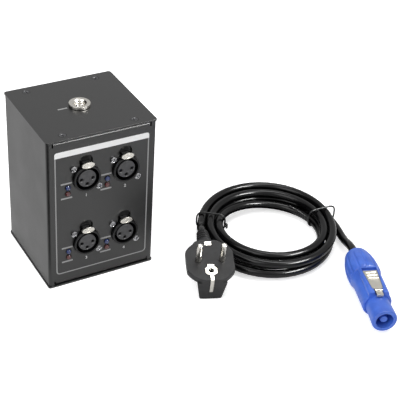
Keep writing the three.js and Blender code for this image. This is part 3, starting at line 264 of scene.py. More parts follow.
def eased(corners, softness, closed=False, steps=3):
    """The corners of a flat line, each rounded by softness, or by less where a side is short."""
    points = []
    last = len(corners) - 1
    for i, corner in enumerate(corners):
        here = Vector(corner)
        before = Vector(corners[i - 1]) - here
        after = Vector(corners[(i + 1) % len(corners)]) - here
        reach = min(softness, before.length * 0.45, after.length * 0.45)
        if (not closed and i in (0, last)) or reach < 1e-4:
            points.append(here)
            continue
        start = here + before.normalized() * reach
        end = here + after.normalized() * reach
        for step in range(steps + 1):
            t = step / steps
            points.append(start * (1 - t) ** 2 + here * 2 * t * (1 - t) + end * t * t)
    return points


def skin(mesh, rings, closed=False):
    """Adds the faces between each ring of points and the next. A ring of one point is a tip."""
    for lower, upper in zip(rings, rings[1:] + (rings[:1] if closed else [])):
        for i in range(max(len(lower), len(upper))):
            around = [lower[i % len(lower)], lower[(i + 1) % len(lower)],
                      upper[(i + 1) % len(upper)], upper[i % len(upper)]]
            distinct = list(dict.fromkeys(around))
            if len(distinct) > 2:
                mesh.faces.new(distinct)


def slab(outline, low, high, softness=0.3):
    """An outline in (x, y) raised along Z from low to high, with its rims eased by softness."""
    mesh = bmesh.new()
    lower = [mesh.verts.new((x, y, low)) for x, y in outline]
    upper = [mesh.verts.new((x, y, high)) for x, y in outline]
    mesh.faces.new(lower[::-1])
    mesh.faces.new(upper)
    skin(mesh, [lower, upper])
    bmesh.ops.recalc_face_normals(mesh, faces=mesh.faces)
    if softness:
        rims = [edge for edge in mesh.edges if edge.verts[0].co.z == edge.verts[1].co.z]
        bmesh.ops.bevel(mesh, geom=rims, offset=softness, segments=2, profile=0.5, affect="EDGES",
                        clamp_overlap=True)
    return mesh


def shaped(body, tools, operation):
    """The body joined with the tools or cut by them, one after another."""
    made = []
    for mesh in [body] + list(tools):
        data = bpy.data.meshes.new("blank")
        mesh.to_mesh(data)
        mesh.free()
        blank = bpy.data.objects.new("blank", data)
        bpy.context.collection.objects.link(blank)
        made.append(blank)
    for tool in made[1:]:
        step = made[0].modifiers.new("step", "BOOLEAN")
        step.operation = operation
        step.solver = "EXACT"
        step.object = tool
    result = bmesh.new()
    whole = made[0].evaluated_get(bpy.context.evaluated_depsgraph_get())
    result.from_mesh(whole.to_mesh())
    whole.to_mesh_clear()
    for blank in made:
        bpy.data.objects.remove(blank)
    return result


def dressed(node, finish, rides="box", ease_mm=FOLD_EASE_MM, cuts=()):
    """A CAD piece with its flat faces made whole and its edges eased, in its finish."""
    mesh = bmesh.new()
    mesh.from_mesh(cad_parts[node].data)
    bmesh.ops.remove_doubles(mesh, verts=mesh.verts, dist=SAME_POINT)
    mesh.transform(Matrix.Scale(1 / MM, 4))
    if cuts:
        mesh = shaped(mesh, cuts, "DIFFERENCE")
    bmesh.ops.dissolve_limit(mesh, angle_limit=math.radians(FLAT_DEGREES), verts=mesh.verts,
                             edges=mesh.edges)
    rims = [edge for edge in mesh.edges
            if edge.is_manifold and edge.calc_face_angle(0) > math.radians(SHARP_DEGREES)]
    bmesh.ops.bevel(mesh, geom=rims, offset=ease_mm, segments=2, profile=0.5, affect="EDGES",
                    clamp_overlap=True)
    bmesh.ops.recalc_face_normals(mesh, faces=mesh.faces)
    return put(f"{node}_finished", mesh, finish, rides, (node,))


panel_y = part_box("housing_sleeve")[0].y


def on_panel(x, z, is_rear=False):
    """A place on the front or rear panel whose +Z points out of the box, with +Y up."""
    outward = Matrix.Rotation(math.radians(90), 4, "X")
    turned_round = Matrix.Rotation(math.pi if is_rear else 0, 4, "Z")
    return Matrix.Translation((x, -panel_y if is_rear else panel_y, z)) @ turned_round @ outward


def middle_of(node):
    """The middle of a solid's box, in metres."""
    low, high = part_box(node)
    return (low + high) / 2


def to_mm(at):
    """A place in metres as one for meshes in mm."""
    return Matrix.Translation(at.translation / MM) @ at.to_3x3().to_4x4()


def recess_cutter(node, is_rear=False):
    """The round-topped recess that the sheet leaves open over a socket's push tab."""
    half_width = RECESS_HALF_WIDTH
    corners = [(-half_width, RECESS_LOW), (half_width, RECESS_LOW), (half_width, RECESS_TOP),
               (-half_width, RECESS_TOP)]
    cutter = slab(eased(corners, RECESS_CORNER, True, 6), -SHEET - 0.5, 1, 0)
    cutter.transform(to_mm(on_panel(*middle_of(node).xz, is_rear)))
    return cutter


recesses = [recess_cutter(f"output_{output}_insert") for output in OUTPUTS]
recesses.append(recess_cutter("through_insert", True))
dressed("housing_sleeve", powder_coat, cuts=recesses)
dressed("top_plate", powder_coat, ease_mm=LID_EASE_MM)
dressed("underside_plate", powder_coat)


# Screen printing on the front: a pale header bar and a thin line round the panel, a short bar
# over and under each pair of lights, a plain number under each output, and a dash on the top plate.
INK_MM = 0.04
PRINT_HALF_WIDTH = 39.3
PRINT_LINE = 0.9
PRINT_TOP = 124.8
HEADER_HEIGHT = 5.0
PRINT_BOTTOM = 11.5
HEADER_CORNER = 3.6
LABEL_HALF_LENGTH = 4.6
LABEL_HEIGHT = 1.3
LABEL_OFFSET_X = 16.4
LABEL_LIFT = 6.6
LABEL_MIDDLE_Z = -8.3
NUMBER_DROP = 16.4
NUMBER_SIZE = 3.6
DASH_LEFT, DASH_RIGHT = -18.3, -10.4

# Screen ink, pulled through a mesh and baked: matt, opaque and very slightly rough
ink, tree, shader, place = new_finish("pale_screen_ink", "#f0f0f0", 0.5)
grain(tree, shader, place, 0.5, 0.01, 0.2)
# The same ink in grey for the thin lines, which are printed with less of it
line_ink, tree, shader, place = new_finish("grey_screen_ink", "#989898", 0.5)
grain(tree, shader, place, 0.5, 0.01, 0.2)


def joined(*meshes):
    """Several meshes as one, each left as it is."""
    whole = bmesh.new()
    for mesh in meshes:
        data = bpy.data.meshes.new("part")
        mesh.to_mesh(data)
        mesh.free()
        whole.from_mesh(data)
        bpy.data.meshes.remove(data)
    return whole


def bar(left, right, low, high, corner=0.2):
    """A printed bar, as thick as the ink."""
    corners = [(left, low), (right, low), (right, high), (left, high)]
    return slab(eased(corners, corner, True), 0, INK_MM, 0)


half = PRINT_HALF_WIDTH
header_low = PRINT_TOP - HEADER_HEIGHT
header = slab(eased([(-half, header_low), (half, header_low)], 0) + eased(
    [(half, header_low), (half, PRINT_TOP), (-half, PRINT_TOP), (-half, header_low)],
    HEADER_CORNER, steps=6)[1:-1], 0, INK_MM, 0)
put("front_header_bar", header, ink, frame_at=on_panel(0, 0))
inner = half - PRINT_LINE
frame_outside = eased([(-half, header_low), (-half, PRINT_BOTTOM), (half, PRINT_BOTTOM),
                       (half, header_low)], HEADER_CORNER, steps=6)
frame_inside = eased([(-inner, header_low), (-inner, PRINT_BOTTOM + PRINT_LINE),
                      (inner, PRINT_BOTTOM + PRINT_LINE), (inner, header_low)],
                     HEADER_CORNER - PRINT_LINE, steps=6)
put("front_frame_line", slab(frame_outside + frame_inside[::-1], 0, INK_MM, 0), line_ink,
    frame_at=on_panel(0, 0))
plate_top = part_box("top_plate")[1].z
put("top_dash", bar(DASH_LEFT, DASH_RIGHT, -LABEL_HEIGHT / 2, LABEL_HEIGHT / 2), line_ink,
    frame_at=Matrix.Translation((0, 0, plate_top)))

for output in OUTPUTS:
    centre = middle_of(f"output_{output}_insert")
    at = on_panel(centre.x, centre.z)
    labels = [bar(-LABEL_OFFSET_X - LABEL_HALF_LENGTH, -LABEL_OFFSET_X + LABEL_HALF_LENGTH,
                  z - LABEL_HEIGHT / 2, z + LABEL_HEIGHT / 2)
              for z in (LABEL_MIDDLE_Z + LABEL_LIFT, LABEL_MIDDLE_Z - LABEL_LIFT)]
    put(f"output_{output}_label_bars", joined(*labels), line_ink, frame_at=at)
    digit = bpy.data.curves.new(f"digit_{output}", "FONT")
    digit.body = str(output)
    digit.size = NUMBER_SIZE
    digit.align_x = "CENTER"
    digit.align_y = "CENTER"
    digit.extrude = INK_MM / 2
    written = bpy.data.objects.new(f"digit_{output}", digit)
    number = bmesh.new()
    number.from_mesh(written.to_mesh())
    bmesh.ops.translate(number, verts=number.verts, vec=(0, -NUMBER_DROP, INK_MM / 2))
    bpy.data.objects.remove(written)
    put(f"output_{output}_number", number, ink, frame_at=at)


# The rigging boss: a round steel nut pressed into the top plate, turned and nickel-plated, with
# an M10 thread. Plating keeps the fine rings of the turning, and the thread shows as dark rings.
BOSS_RADIUS = 8.5
BOSS_HEIGHT = 2.5
BOSS_SEAT = 0.3
THREAD_MOUTH = 5.7
THREAD_CREST = 4.3
THREAD_ROOT = 4.9
THREAD_PITCH = 1.5
THREAD_DEPTH = 12.5
BOSS_SHANK = 7.0
AXIS_MM = 1e-5

# Nickel plate on turned or stamped steel: bright and slightly warm, with faint brushed clouds
nickel, tree, shader, place = new_finish("satin_nickel_plate", "#d4d1ca", 0.24, 1.0)
grain(tree, shader, place, 0.35, 0.002, 0.08)
vary(tree, shader, place, "Roughness", 2.5, 0.2, 0.28)


def circle(radius, sides):
    """The points of a circle, as (x, y)."""
    return [(radius * math.cos(a), radius * math.sin(a))
            for a in [2 * math.pi * i / sides for i in range(sides)]]


def turned(corners, softness=0.3, sides=64, closed=False):
    """A solid turned about its local Z, from corners as (radius, height), eased by softness."""
    mesh = bmesh.new()
    rings = []
    for radius, height in eased(corners, softness, closed):
        spots = circle(radius, sides) if radius > AXIS_MM else [(0, 0)]
        rings.append([mesh.verts.new((x, y, height)) for x, y in spots])
    skin(mesh, rings, closed)
    bmesh.ops.recalc_face_normals(mesh, faces=mesh.faces)
    return mesh


thread = [(THREAD_MOUTH, BOSS_HEIGHT), (THREAD_CREST, BOSS_HEIGHT - THREAD_MOUTH + THREAD_CREST)]
ring_count = int((THREAD_DEPTH - THREAD_MOUTH + THREAD_CREST) / THREAD_PITCH)
for ring in range(ring_count):
    crest = thread[1][1] - ring * THREAD_PITCH
    thread += [(THREAD_ROOT, crest - THREAD_PITCH / 2), (THREAD_CREST, crest - THREAD_PITCH)]
boss_bottom = BOSS_HEIGHT - THREAD_DEPTH
boss = turned(thread + [(THREAD_CREST, boss_bottom), (BOSS_SHANK, boss_bottom),
                        (BOSS_SHANK, BOSS_SEAT), (BOSS_RADIUS, BOSS_SEAT),
                        (BOSS_RADIUS, BOSS_HEIGHT)], 0.25, 72, True)
put("threaded_boss_turned", boss, nickel, stands_for=("threaded_boss",),
    frame_at=Matrix.Translation((0, 0, plate_top)))


# Cross-head screws: blackened countersunk ones in the covers, and zinc-plated pan heads that
# hold each socket to the panel from the front.
COVER_HEAD = 2.7
COVER_SCREW = 1.5
COVER_SCREW_LENGTH = 8
COVER_NECK = -1.5
COVER_TURN = 0.4
UNDERSIDE_SUNK = -0.05
SOCKET_HEAD = 2.6
SOCKET_HEAD_HEIGHT = 1.9
SOCKET_HEAD_CROWN = 0.9
SOCKET_HEAD_SEAT = 0.3
SOCKET_SCREW = 1.45
SOCKET_SCREW_LENGTH = 9
CROSS_HALF_WIDTH_SHARE = 0.17
CROSS_REACH_SHARE = 0.72
CROSS_DEPTH_SHARE = 0.5
CROSS_END_SLOPE_SHARE = 0.3
CROSS_SIDE_SLOPE_SHARE = 0.05
SCREW_SIDES = 48
SCREW_RINGS = 12

# Carbon steel, blackened and oiled: dark, with a dull metal shine close to that of the coat
black_steel, tree, shader, place = new_finish("blackened_steel", "#5c5c5e", 0.38, 0.8)
grain(tree, shader, place, 0.3, 0.01, 0.2)
# Carbon steel, zinc-plated: a cool grey that glints on the crown and goes dark in the cross
zinc_plate, tree, shader, place = new_finish("zinc_plate", "#a6a6a8", 0.2, 1.0)
grain(tree, shader, place, 0.3, 0.003, 0.1)
vary(tree, shader, place, "Roughness", 1.5, 0.17, 0.25)


def screw(head, rise, crown, shank, length, neck):
    """A cross-head screw: its head stands rise above z = 0 and its shank ends at -length."""
    mesh = bmesh.new()
    half_width = head * CROSS_HALF_WIDTH_SHARE
    reach = head * CROSS_REACH_SHARE

    def height(x, y):
        far = math.hypot(x, y)
        top = rise - crown * (far / head) ** 2
        arm = min(abs(x), abs(y))
        if arm < half_width and far < reach:
            slope = min(1.0, (reach - far) / (head * CROSS_END_SLOPE_SHARE),
                        (half_width - arm) / (head * CROSS_SIDE_SLOPE_SHARE))
            top -= head * CROSS_DEPTH_SHARE * max(0.0, slope)
        return top

    rings = [[mesh.verts.new((0, 0, height(0, 0)))]]
    for step in range(1, SCREW_RINGS + 1):
        rings.append([mesh.verts.new((x, y, height(x, y)))
                      for x, y in circle(head * step / SCREW_RINGS, SCREW_SIDES)])
    for radius, low in [(head, 0), (shank, neck), (shank, -length)]:
        rings.append([mesh.verts.new((x, y, low)) for x, y in circle(radius, SCREW_SIDES)])
    rings.append([mesh.verts.new((0, 0, -length))])
    skin(mesh, rings)
    bmesh.ops.recalc_face_normals(mesh, faces=mesh.faces)
    return mesh


def cover_screw(rise):
    """A countersunk screw of the covers."""
    return screw(COVER_HEAD, rise, 0, COVER_SCREW, COVER_SCREW_LENGTH, COVER_NECK)


def pan_screw():
    """A pan-head screw of the sockets."""
    return screw(SOCKET_HEAD, SOCKET_HEAD_HEIGHT, SOCKET_HEAD_CROWN, SOCKET_SCREW,
                 SOCKET_SCREW_LENGTH, 0)


for number in OUTPUTS:
    centre = middle_of(f"top_screw_{number}")
    at = Matrix.Translation((centre.x, centre.y, plate_top))
    put(f"top_screw_{number}_cross_head", cover_screw(0), black_steel,
        stands_for=(f"top_screw_{number}",),
        frame_at=at @ Matrix.Rotation(COVER_TURN + number, 4, "Z"))
    under = Matrix.Translation((centre.x, centre.y, 0)) @ Matrix.Rotation(math.pi, 4, "X")
    put(f"underside_screw_{number}", cover_screw(UNDERSIDE_SUNK), black_steel,
        frame_at=under)
    for side in (1, 2):
        node = f"output_{number}_screw_{side}"
        centre = middle_of(node)
        at = on_panel(centre.x, centre.z) @ Matrix.Translation((0, 0, SOCKET_HEAD_SEAT * MM))
        put(f"{node}_pan_head", pan_screw(), zinc_plate, stands_for=(node,),
            frame_at=at @ Matrix.Rotation(number + side, 4, "Z"))


# The round output sockets: each shell is moulded in black glass-filled nylon, with a barrel
# through the panel, two ears behind it for the screws, and a channel for the push tab on top.
SHELL_RADIUS = 11.2
SHELL_PROUD = 2.8
SHELL_BORE = 9.65
SHELL_COLLAR = 12.6
SHELL_BACK = 16
SHOULDER = 1.8
BORE_FLOOR = 11.2
EAR_X, EAR_Y, EAR_RADIUS, EAR_BACK = 10.5, 9.9, 3.8, 10
EAR_HOLES = [(-EAR_X, EAR_Y), (EAR_X, -EAR_Y)]
TAB_Y = 12.8
TAB_HALF_WIDTH = 5.3
TAB_HALF_HEIGHT = 2.6
TAB_BACK = 2.6
TAB_FRONT = 4.4
NOTCH_FLOOR = 0.5
STEM_HALF_WIDTH = 3.5
STEM_HALF_HEIGHT = 1.2
STEM_BACK = 10.4
CHANNEL_BACK = 12.5
HUMP_FOOT, HUMP_BACK = 6, 14
TAB_GROOVE_SHARES, TAB_GROOVE_DEPTH = (0.72, 0.66), 0.18
TAB_PAD_SHARES, TAB_PAD_DEPTH = (0.64, 0.56), 0.6
SLIDE_GAP = 0.3
INSERT_RADIUS = 7.3
INSERT_BACK = 10.9
INSERT_FACE = 2.2
HOLE_RADIUS = 1.45
HOLE_MOUTH = 1.95
HOLE_FLOOR = 9
KEY_HALF_WIDTH, KEY_LOW, KEY_TOP, KEY_PROUD = 1.3, 4.6, 6.9, 0.25
CONTACT_BORE, CONTACT_RADIUS, CONTACT_FRONT, CONTACT_FLOOR = 0.8, 1.25, 3.4, 8
SOLDER_PIN = 0.9
CONTACT_PLACES = [(-4.7, -0.5), (4.7, -0.5), (0, -4.9)]
SOLDER_END = 19.1

# Glass-filled nylon, moulded: black, a little duller than bare plastic, with a fine texture
black_nylon, tree, shader, place = new_finish("black_filled_nylon", "#070708", 0.28)
shader.inputs["Specular IOR Level"].default_value = 0.35
grain(tree, shader, place, 0.6, 0.01, 0.2)
# The same nylon in grey for the inserts, with faint clouds from the moulding
grey_nylon, tree, shader, place = new_finish("grey_filled_nylon", "#3d3d3f", 0.5)
grain(tree, shader, place, 0.6, 0.02, 0.3)
vary(tree, shader, place, "Base Color", 5, "#39393b", "#434345")
# Gold flash over nickel on the spring contacts: warm and bright
gold_flash, tree, shader, place = new_finish("gold_flash", "#c9a24a", 0.3, 1.0)
grain(tree, shader, place, 0.3, 0.01, 0.1)


def box_of(x, y, z, softness=0.3):
    """A block between pairs of x, y and z, with eased rims."""
    outline = [(x[0], y[0]), (x[1], y[0]), (x[1], y[1]), (x[0], y[1])]
    return slab(eased(outline, softness, True) if softness else outline, z[0], z[1], softness)


def moved(mesh, x=0, y=0):
    mesh.transform(Matrix.Translation((x, y, 0)))
    return mesh


def turned_at(places, corners, softness, sides):
    """The same turned solid at each of several places."""
    return [moved(turned(corners, softness, sides), x, y) for x, y in places]


def rods(radius, low, high, places, sides=20, softness=0.15):
    """Round rods along Z, one at each place."""
    corners = [(0, low), (radius, low), (radius, high), (0, high)]
    return turned_at(places, corners, softness, sides)


def socket_shell(has_tab, bore):
    """In the panel's frame: +Z out of the box, +Y up."""
    barrel = turned([(bore, SHELL_PROUD), (SHELL_RADIUS, SHELL_PROUD), (SHELL_RADIUS, -SHOULDER),
                     (SHELL_COLLAR, -SHOULDER), (SHELL_COLLAR, -SHELL_BACK), (0, -SHELL_BACK),
                     (0, -BORE_FLOOR), (bore, -BORE_FLOOR)], 0.45, 96)
    span = math.hypot(EAR_X, EAR_Y) + EAR_RADIUS
    ears = box_of((-span, span), (-EAR_RADIUS, EAR_RADIUS), (-EAR_BACK, -SHOULDER), 0)
    ears.transform(Matrix.Rotation(-math.atan2(EAR_Y, EAR_X), 4, "Z"))
    over = SHELL_PROUD + 1
    bore_core = turned([(0, -BORE_FLOOR), (bore, -BORE_FLOOR), (bore, over), (0, over)], 0, 96)
    parts = [ears]
    cuts = [bore_core] + rods(SOCKET_SCREW + 0.3, -EAR_BACK - 1, 0, EAR_HOLES)
    if has_tab:
        hump = RECESS_HALF_WIDTH + 1
        parts.append(box_of((-hump, hump), (HUMP_FOOT, RECESS_TOP + 1),
                            (-HUMP_BACK, -SHOULDER), 0.3))
        notch = TAB_HALF_WIDTH + SLIDE_GAP
        cuts.append(box_of((-notch, notch), (TAB_Y - TAB_HALF_HEIGHT - SLIDE_GAP, RECESS_TOP),
                           (NOTCH_FLOOR, over), 0))
        channel, clear = STEM_HALF_WIDTH + SLIDE_GAP, STEM_HALF_HEIGHT + SLIDE_GAP
        cuts.append(box_of((-channel, channel), (TAB_Y - clear, TAB_Y + clear),
                           (-CHANNEL_BACK, 2), 0))
    return shaped(shaped(barrel, parts, "UNION"), cuts, "DIFFERENCE")


def socket_insert():
    """A disc with a key at its top and three holes with countersunk mouths."""
    face = INSERT_FACE
    core = turned([(0, -INSERT_BACK), (INSERT_RADIUS, -INSERT_BACK), (INSERT_RADIUS, face),
                   (0, face)], 0.4, 72)
    key = box_of((-KEY_HALF_WIDTH, KEY_HALF_WIDTH), (KEY_LOW, KEY_TOP),
                 (face - 1, face + KEY_PROUD), 0.2)
    holes = rods(HOLE_RADIUS, -HOLE_FLOOR, face + 1, CONTACT_PLACES, 24)
    mouths = turned_at(CONTACT_PLACES, [(0, face - 0.4), (HOLE_RADIUS, face - 0.4),
                                        (HOLE_MOUTH, face + 0.1), (0, face + 0.1)], 0, 24)
    return shaped(shaped(core, [key], "UNION"), holes + mouths, "DIFFERENCE")


def socket_contacts():
    """Three sleeves inside the holes and their solder pins behind."""
    sleeves = turned_at(CONTACT_PLACES, [
        (CONTACT_BORE, -CONTACT_FRONT), (CONTACT_RADIUS, -CONTACT_FRONT),
        (CONTACT_RADIUS, -HOLE_FLOOR), (0, -HOLE_FLOOR), (0, -CONTACT_FLOOR),
        (CONTACT_BORE, -CONTACT_FLOOR)], 0.1, 20)
    pins = rods(SOLDER_PIN, -SOLDER_END, -HOLE_FLOOR, CONTACT_PLACES, 16)
    return joined(*sleeves, *pins)


def push_tab():
    """An oval steel button with a line sunk round its flat face."""
    oval = [(TAB_HALF_WIDTH * x, TAB_HALF_HEIGHT * y) for x, y in circle(1, 56)]
    groove, pad = [[(x * share_x, y * share_y) for x, y in oval]
                   for share_x, share_y in (TAB_GROOVE_SHARES, TAB_PAD_SHARES)]
    head = slab(oval, TAB_BACK, TAB_FRONT, 0.45)
    dip = slab(groove, TAB_FRONT - TAB_GROOVE_DEPTH, TAB_FRONT + 1, 0)
    flat = slab(pad, TAB_FRONT - TAB_PAD_DEPTH, TAB_FRONT, 0.15)
    return moved(shaped(shaped(head, [dip], "DIFFERENCE"), [flat], "UNION"), 0, TAB_Y)


def push_stem():
    """The flat slide behind the button."""
    return moved(box_of((-STEM_HALF_WIDTH, STEM_HALF_WIDTH), (-STEM_HALF_HEIGHT, STEM_HALF_HEIGHT),
                        (-STEM_BACK, TAB_BACK), 0.2), 0, TAB_Y)


def female_socket(name, at, tab_body):
    """A whole socket at a place on a panel, with its tab on the tab's own body."""
    put(f"{name}_barrel", socket_shell(True, SHELL_BORE), black_nylon,
        stands_for=(f"{name}_shell",), frame_at=at)
    put(f"{name}_face", socket_insert(), grey_nylon, stands_for=(f"{name}_insert",),
        frame_at=at)
    put(f"{name}_contacts", socket_contacts(), gold_flash, frame_at=at)
    put(f"{name}_push_stem", push_stem(), black_nylon, rides=tab_body, frame_at=at)
    put(f"{name}_push_button", push_tab(), nickel, rides=tab_body,
        stands_for=(f"{name}_push_tab",), frame_at=at)


for output in OUTPUTS:
    centre = middle_of(f"output_{output}_insert")
    female_socket(f"output_{output}", on_panel(centre.x, centre.z), f"output_{output}_tab")


# The lights: a blue and a red lamp of tinted epoxy in one holder per output. The resin is
# smooth, and lets some light in, so that it glows a little in its own colour.
LAMP_RADIUS = 2.0
LAMP_PROUD = 1.4
LAMP_PITCH = 5.4
LAMP_LIFTS = (LAMP_PITCH / 2, -LAMP_PITCH / 2)
LAMP_BACK = 3.5
LAMP_DOME = 1.1
BEZEL_RADIUS = 2.6
BEZEL_GAP = 0.05
HOLDER_HALF = 2.8
HOLDER_FRONT, HOLDER_BACK = 3, 10
LEG_X, LEG_HALF, LEG_ROOT, LEG_END = 0.9, 0.3, 9.5, 16


def epoxy(name, hex_colour):
    """Tinted casting resin, glossy, unlit."""
    resin, tree, shader, place = new_finish(name, hex_colour, 0.16)
    shader.inputs["Coat Weight"].default_value = 0.6
    shader.inputs["Transmission Weight"].default_value = 0.15
    grain(tree, shader, place, 1.2, 0.01, 0.1)
    return resin


def light_holder():
    """A block behind the panel with two bezels in front and four legs behind."""
    reach = LAMP_PITCH / 2 + HOLDER_HALF
    block = box_of((-HOLDER_HALF, HOLDER_HALF), (-reach, reach), (-HOLDER_BACK, -HOLDER_FRONT),
                   0.3)
    legs = [box_of((x - LEG_HALF, x + LEG_HALF), (y - LEG_HALF, y + LEG_HALF),
                   (-LEG_END, -LEG_ROOT), 0) for x in (-LEG_X, LEG_X) for y in LAMP_LIFTS]
    inside, neck = LAMP_RADIUS + BEZEL_GAP, LAMP_RADIUS + 0.2
    section = [(inside, -1), (neck, -1), (neck, 0), (BEZEL_RADIUS, 0), (BEZEL_RADIUS, 0.3),
               (inside, 0.3)]
    bezels = [moved(turned(section, 0.08, 40, True), 0, y) for y in LAMP_LIFTS]
    return joined(block, *legs, *bezels)


blue_epoxy = epoxy("blue_epoxy", "#1c3068")
red_epoxy = epoxy("red_epoxy", "#541818")
for output in OUTPUTS:
    centre = middle_of(f"output_{output}_lights")
    at = on_panel(centre.x, centre.z)
    put(f"output_{output}_light_holder", light_holder(), black_nylon,
        stands_for=(f"output_{output}_lights",), frame_at=at)
    for colour, resin, lift in zip(("blue", "red"), (blue_epoxy, red_epoxy), LAMP_LIFTS):
        dome = turned([(0, -LAMP_BACK), (LAMP_RADIUS, -LAMP_BACK), (LAMP_RADIUS, LAMP_PROUD),
                       (0, LAMP_PROUD)], LAMP_DOME, 40)
        put(f"output_{output}_{colour}_lamp", moved(dome, 0, lift), resin, frame_at=at)


# The rear panel: a through socket like the outputs, an input with three pins in a cup, and the
# blue locking mains inlet. All are screwed on like the outputs.
CUP_BORE = 8.1
DISC_RADIUS = 7.8
DISC_FACE = 8.4
PIN_FRONT = 1.3
INLET_HOLES = [(-9.5, 12), (9.5, -12)]
INLET_FLANGE = 2.45

through = middle_of("through_insert")
female_socket("through", on_panel(through.x, through.z, True), "through_tab")
entry = middle_of("input_pins")
entry_at = on_panel(entry.x, entry.z, True)
put("input_cup", socket_shell(False, CUP_BORE), black_nylon, stands_for=("input_shell",),
    frame_at=entry_at)
put("input_pin_disc", turned([(0, -INSERT_BACK), (DISC_RADIUS, -INSERT_BACK),
                              (DISC_RADIUS, -DISC_FACE), (0, -DISC_FACE)], 0.3, 48), grey_nylon,
    frame_at=entry_at)
put("input_three_pins", joined(*rods(1.2, -SOLDER_END, PIN_FRONT, CONTACT_PLACES, 24, 0.5)),
    nickel, stands_for=("input_pins",), frame_at=entry_at)

# Blue polyamide, moulded: satin, with slow clouds where the melt flowed
blue_polyamide, tree, shader, place = new_finish("blue_polyamide", "#3e67cb", 0.38)
grain(tree, shader, place, 0.8, 0.01, 0.2)
vary(tree, shader, place, "Base Color", 9, "#3b62c5", "#446fd3")
inlet = middle_of("power_inlet")
dressed("power_inlet", blue_polyamide, ease_mm=0.35)
rear_screws = [(through, EAR_HOLES, SOCKET_HEAD_SEAT), (entry, EAR_HOLES, SOCKET_HEAD_SEAT),
               (inlet, INLET_HOLES, INLET_FLANGE)]
rear_count = 0
for centre, holes, seat in rear_screws:
    for x, y in holes:
        rear_count += 1
        at = on_panel(centre.x, centre.z, True) @ Matrix.Translation(Vector((x, y, seat)) * MM)
        put(f"rear_screw_{rear_count}", pan_screw(), zinc_plate, frame_at=at)


# The boards inside: glass-epoxy laminate under green solder mask, with moulded chips, a small
# transformer and a sleeved capacitor.
# Solder mask over copper tracks: a satin green, darker where there is no copper under it
green_mask, tree, shader, place = new_finish("green_solder_mask", "#1d5232", 0.35)
grain(tree, shader, place, 1.0, 0.02, 0.3)
vary(tree, shader, place, "Base Color", 3, "#194a2c", "#246040")
for node in ("output_board", "input_board", "power_board"):
    dressed(node, green_mask, ease_mm=0.1)
dressed("power_transformer", black_steel, ease_mm=0.5)
dressed("power_capacitor", black_nylon, ease_mm=0.6)


# The plug: one block of dark grey PVC moulded round its pins, with a flat face, pinched sides
# and a grip that tapers below. It lies on its back with its pins up and leans on its near edge.
PLUG_PLACE = Vector((72.4, -89.4, 0)) * MM
PLUG_HEADING = math.radians(68)
PLUG_LEAN = math.radians(14)
PLUG_HALF_LENGTH = 20
PIN_SPACING = 19
PIN_RADIUS = 2.4
PIN_LENGTH = 19
PIN_SEAT = 10
PLUG_FACE = 24
NECK_PLACE = Vector((0, 24, 9.5)) * MM
NECK_LENGTH = 6
RELIEF_END = 20.5
GRIP_CORNER = Vector((5.4, 17.9))
GRIP_ROUND_X, GRIP_ROUND_Y = 7, 6.15
GRIP_OUTSIDE = (13.2, 25)
GRIP_TOP = 20.3
PIN_CHAMFER = 0.8
RELIEF_RIBS = 5
RELIEF_RADII = (6.3, 5)
RELIEF_GROOVE = 1.4
RIB_SHARE = 0.6
plug_at = Matrix.Translation(PLUG_PLACE) @ Matrix.Rotation(PLUG_HEADING - math.pi / 2, 4, "Z")
lean = Matrix.Rotation(PLUG_LEAN, 4, "X")
near_edge = Vector((0, -PLUG_HALF_LENGTH, 0)) * MM
leaning = Matrix.Translation(near_edge - lean @ near_edge) @ lean
neck_at = plug_at @ Matrix.Translation(leaning @ NECK_PLACE)

# Soft PVC, moulded with a spark-eroded texture: matt, dark grey, a little paler on the edges
plug_pvc, tree, shader, place = new_finish("moulded_grey_pvc", "#252526", 0.5)
shader.inputs["Specular IOR Level"].default_value = 0.3
grain(tree, shader, place, 0.7, 0.04, 0.35)
vary(tree, shader, place, "Base Color", 7, "#222223", "#2a2a2b")
# The same PVC in black, without the texture, for the relief
relief_pvc, tree, shader, place = new_finish("black_flexible_pvc", "#0e0e0f", 0.38)
shader.inputs["Specular IOR Level"].default_value = 0.35
grain(tree, shader, place, 1.5, 0.03, 0.3)


def corner_cutters():
    """What rounds the two far corners of the grip, under the round face."""
    corner = [(GRIP_CORNER.x + GRIP_ROUND_X * x, GRIP_CORNER.y + GRIP_ROUND_Y * y)
              for x, y in circle(1, 40)[:11]]
    far_x, far_y = GRIP_OUTSIDE
    outline = corner + [(GRIP_CORNER.x, far_y), (far_x, far_y), (far_x, GRIP_CORNER.y)]
    mirrored = [(-x, y) for x, y in outline[::-1]]
    cutters = [slab(side, -1, GRIP_TOP, 0) for side in (outline, mirrored)]
    for cutter in cutters:
        cutter.transform(to_mm(plug_at @ leaning))
    return cutters


dressed("plug_body", plug_pvc, ease_mm=0.9, cuts=corner_cutters())
dressed("plug_earth_clip", nickel, ease_mm=0.15)
pin_top = PLUG_FACE + PIN_LENGTH
for index, x in enumerate((-PIN_SPACING / 2, PIN_SPACING / 2)):
    pin = turned([(0, PLUG_FACE - PIN_SEAT), (PIN_RADIUS, PLUG_FACE - PIN_SEAT),
                  (PIN_RADIUS, pin_top - PIN_CHAMFER), (PIN_RADIUS - PIN_CHAMFER, pin_top),
                  (0, pin_top)], 0.8, 40)
    put(f"plug_pin_{index + 1}_plated", moved(pin, x), nickel,
        stands_for=(f"plug_pin_{index + 1}",), frame_at=plug_at @ leaning)


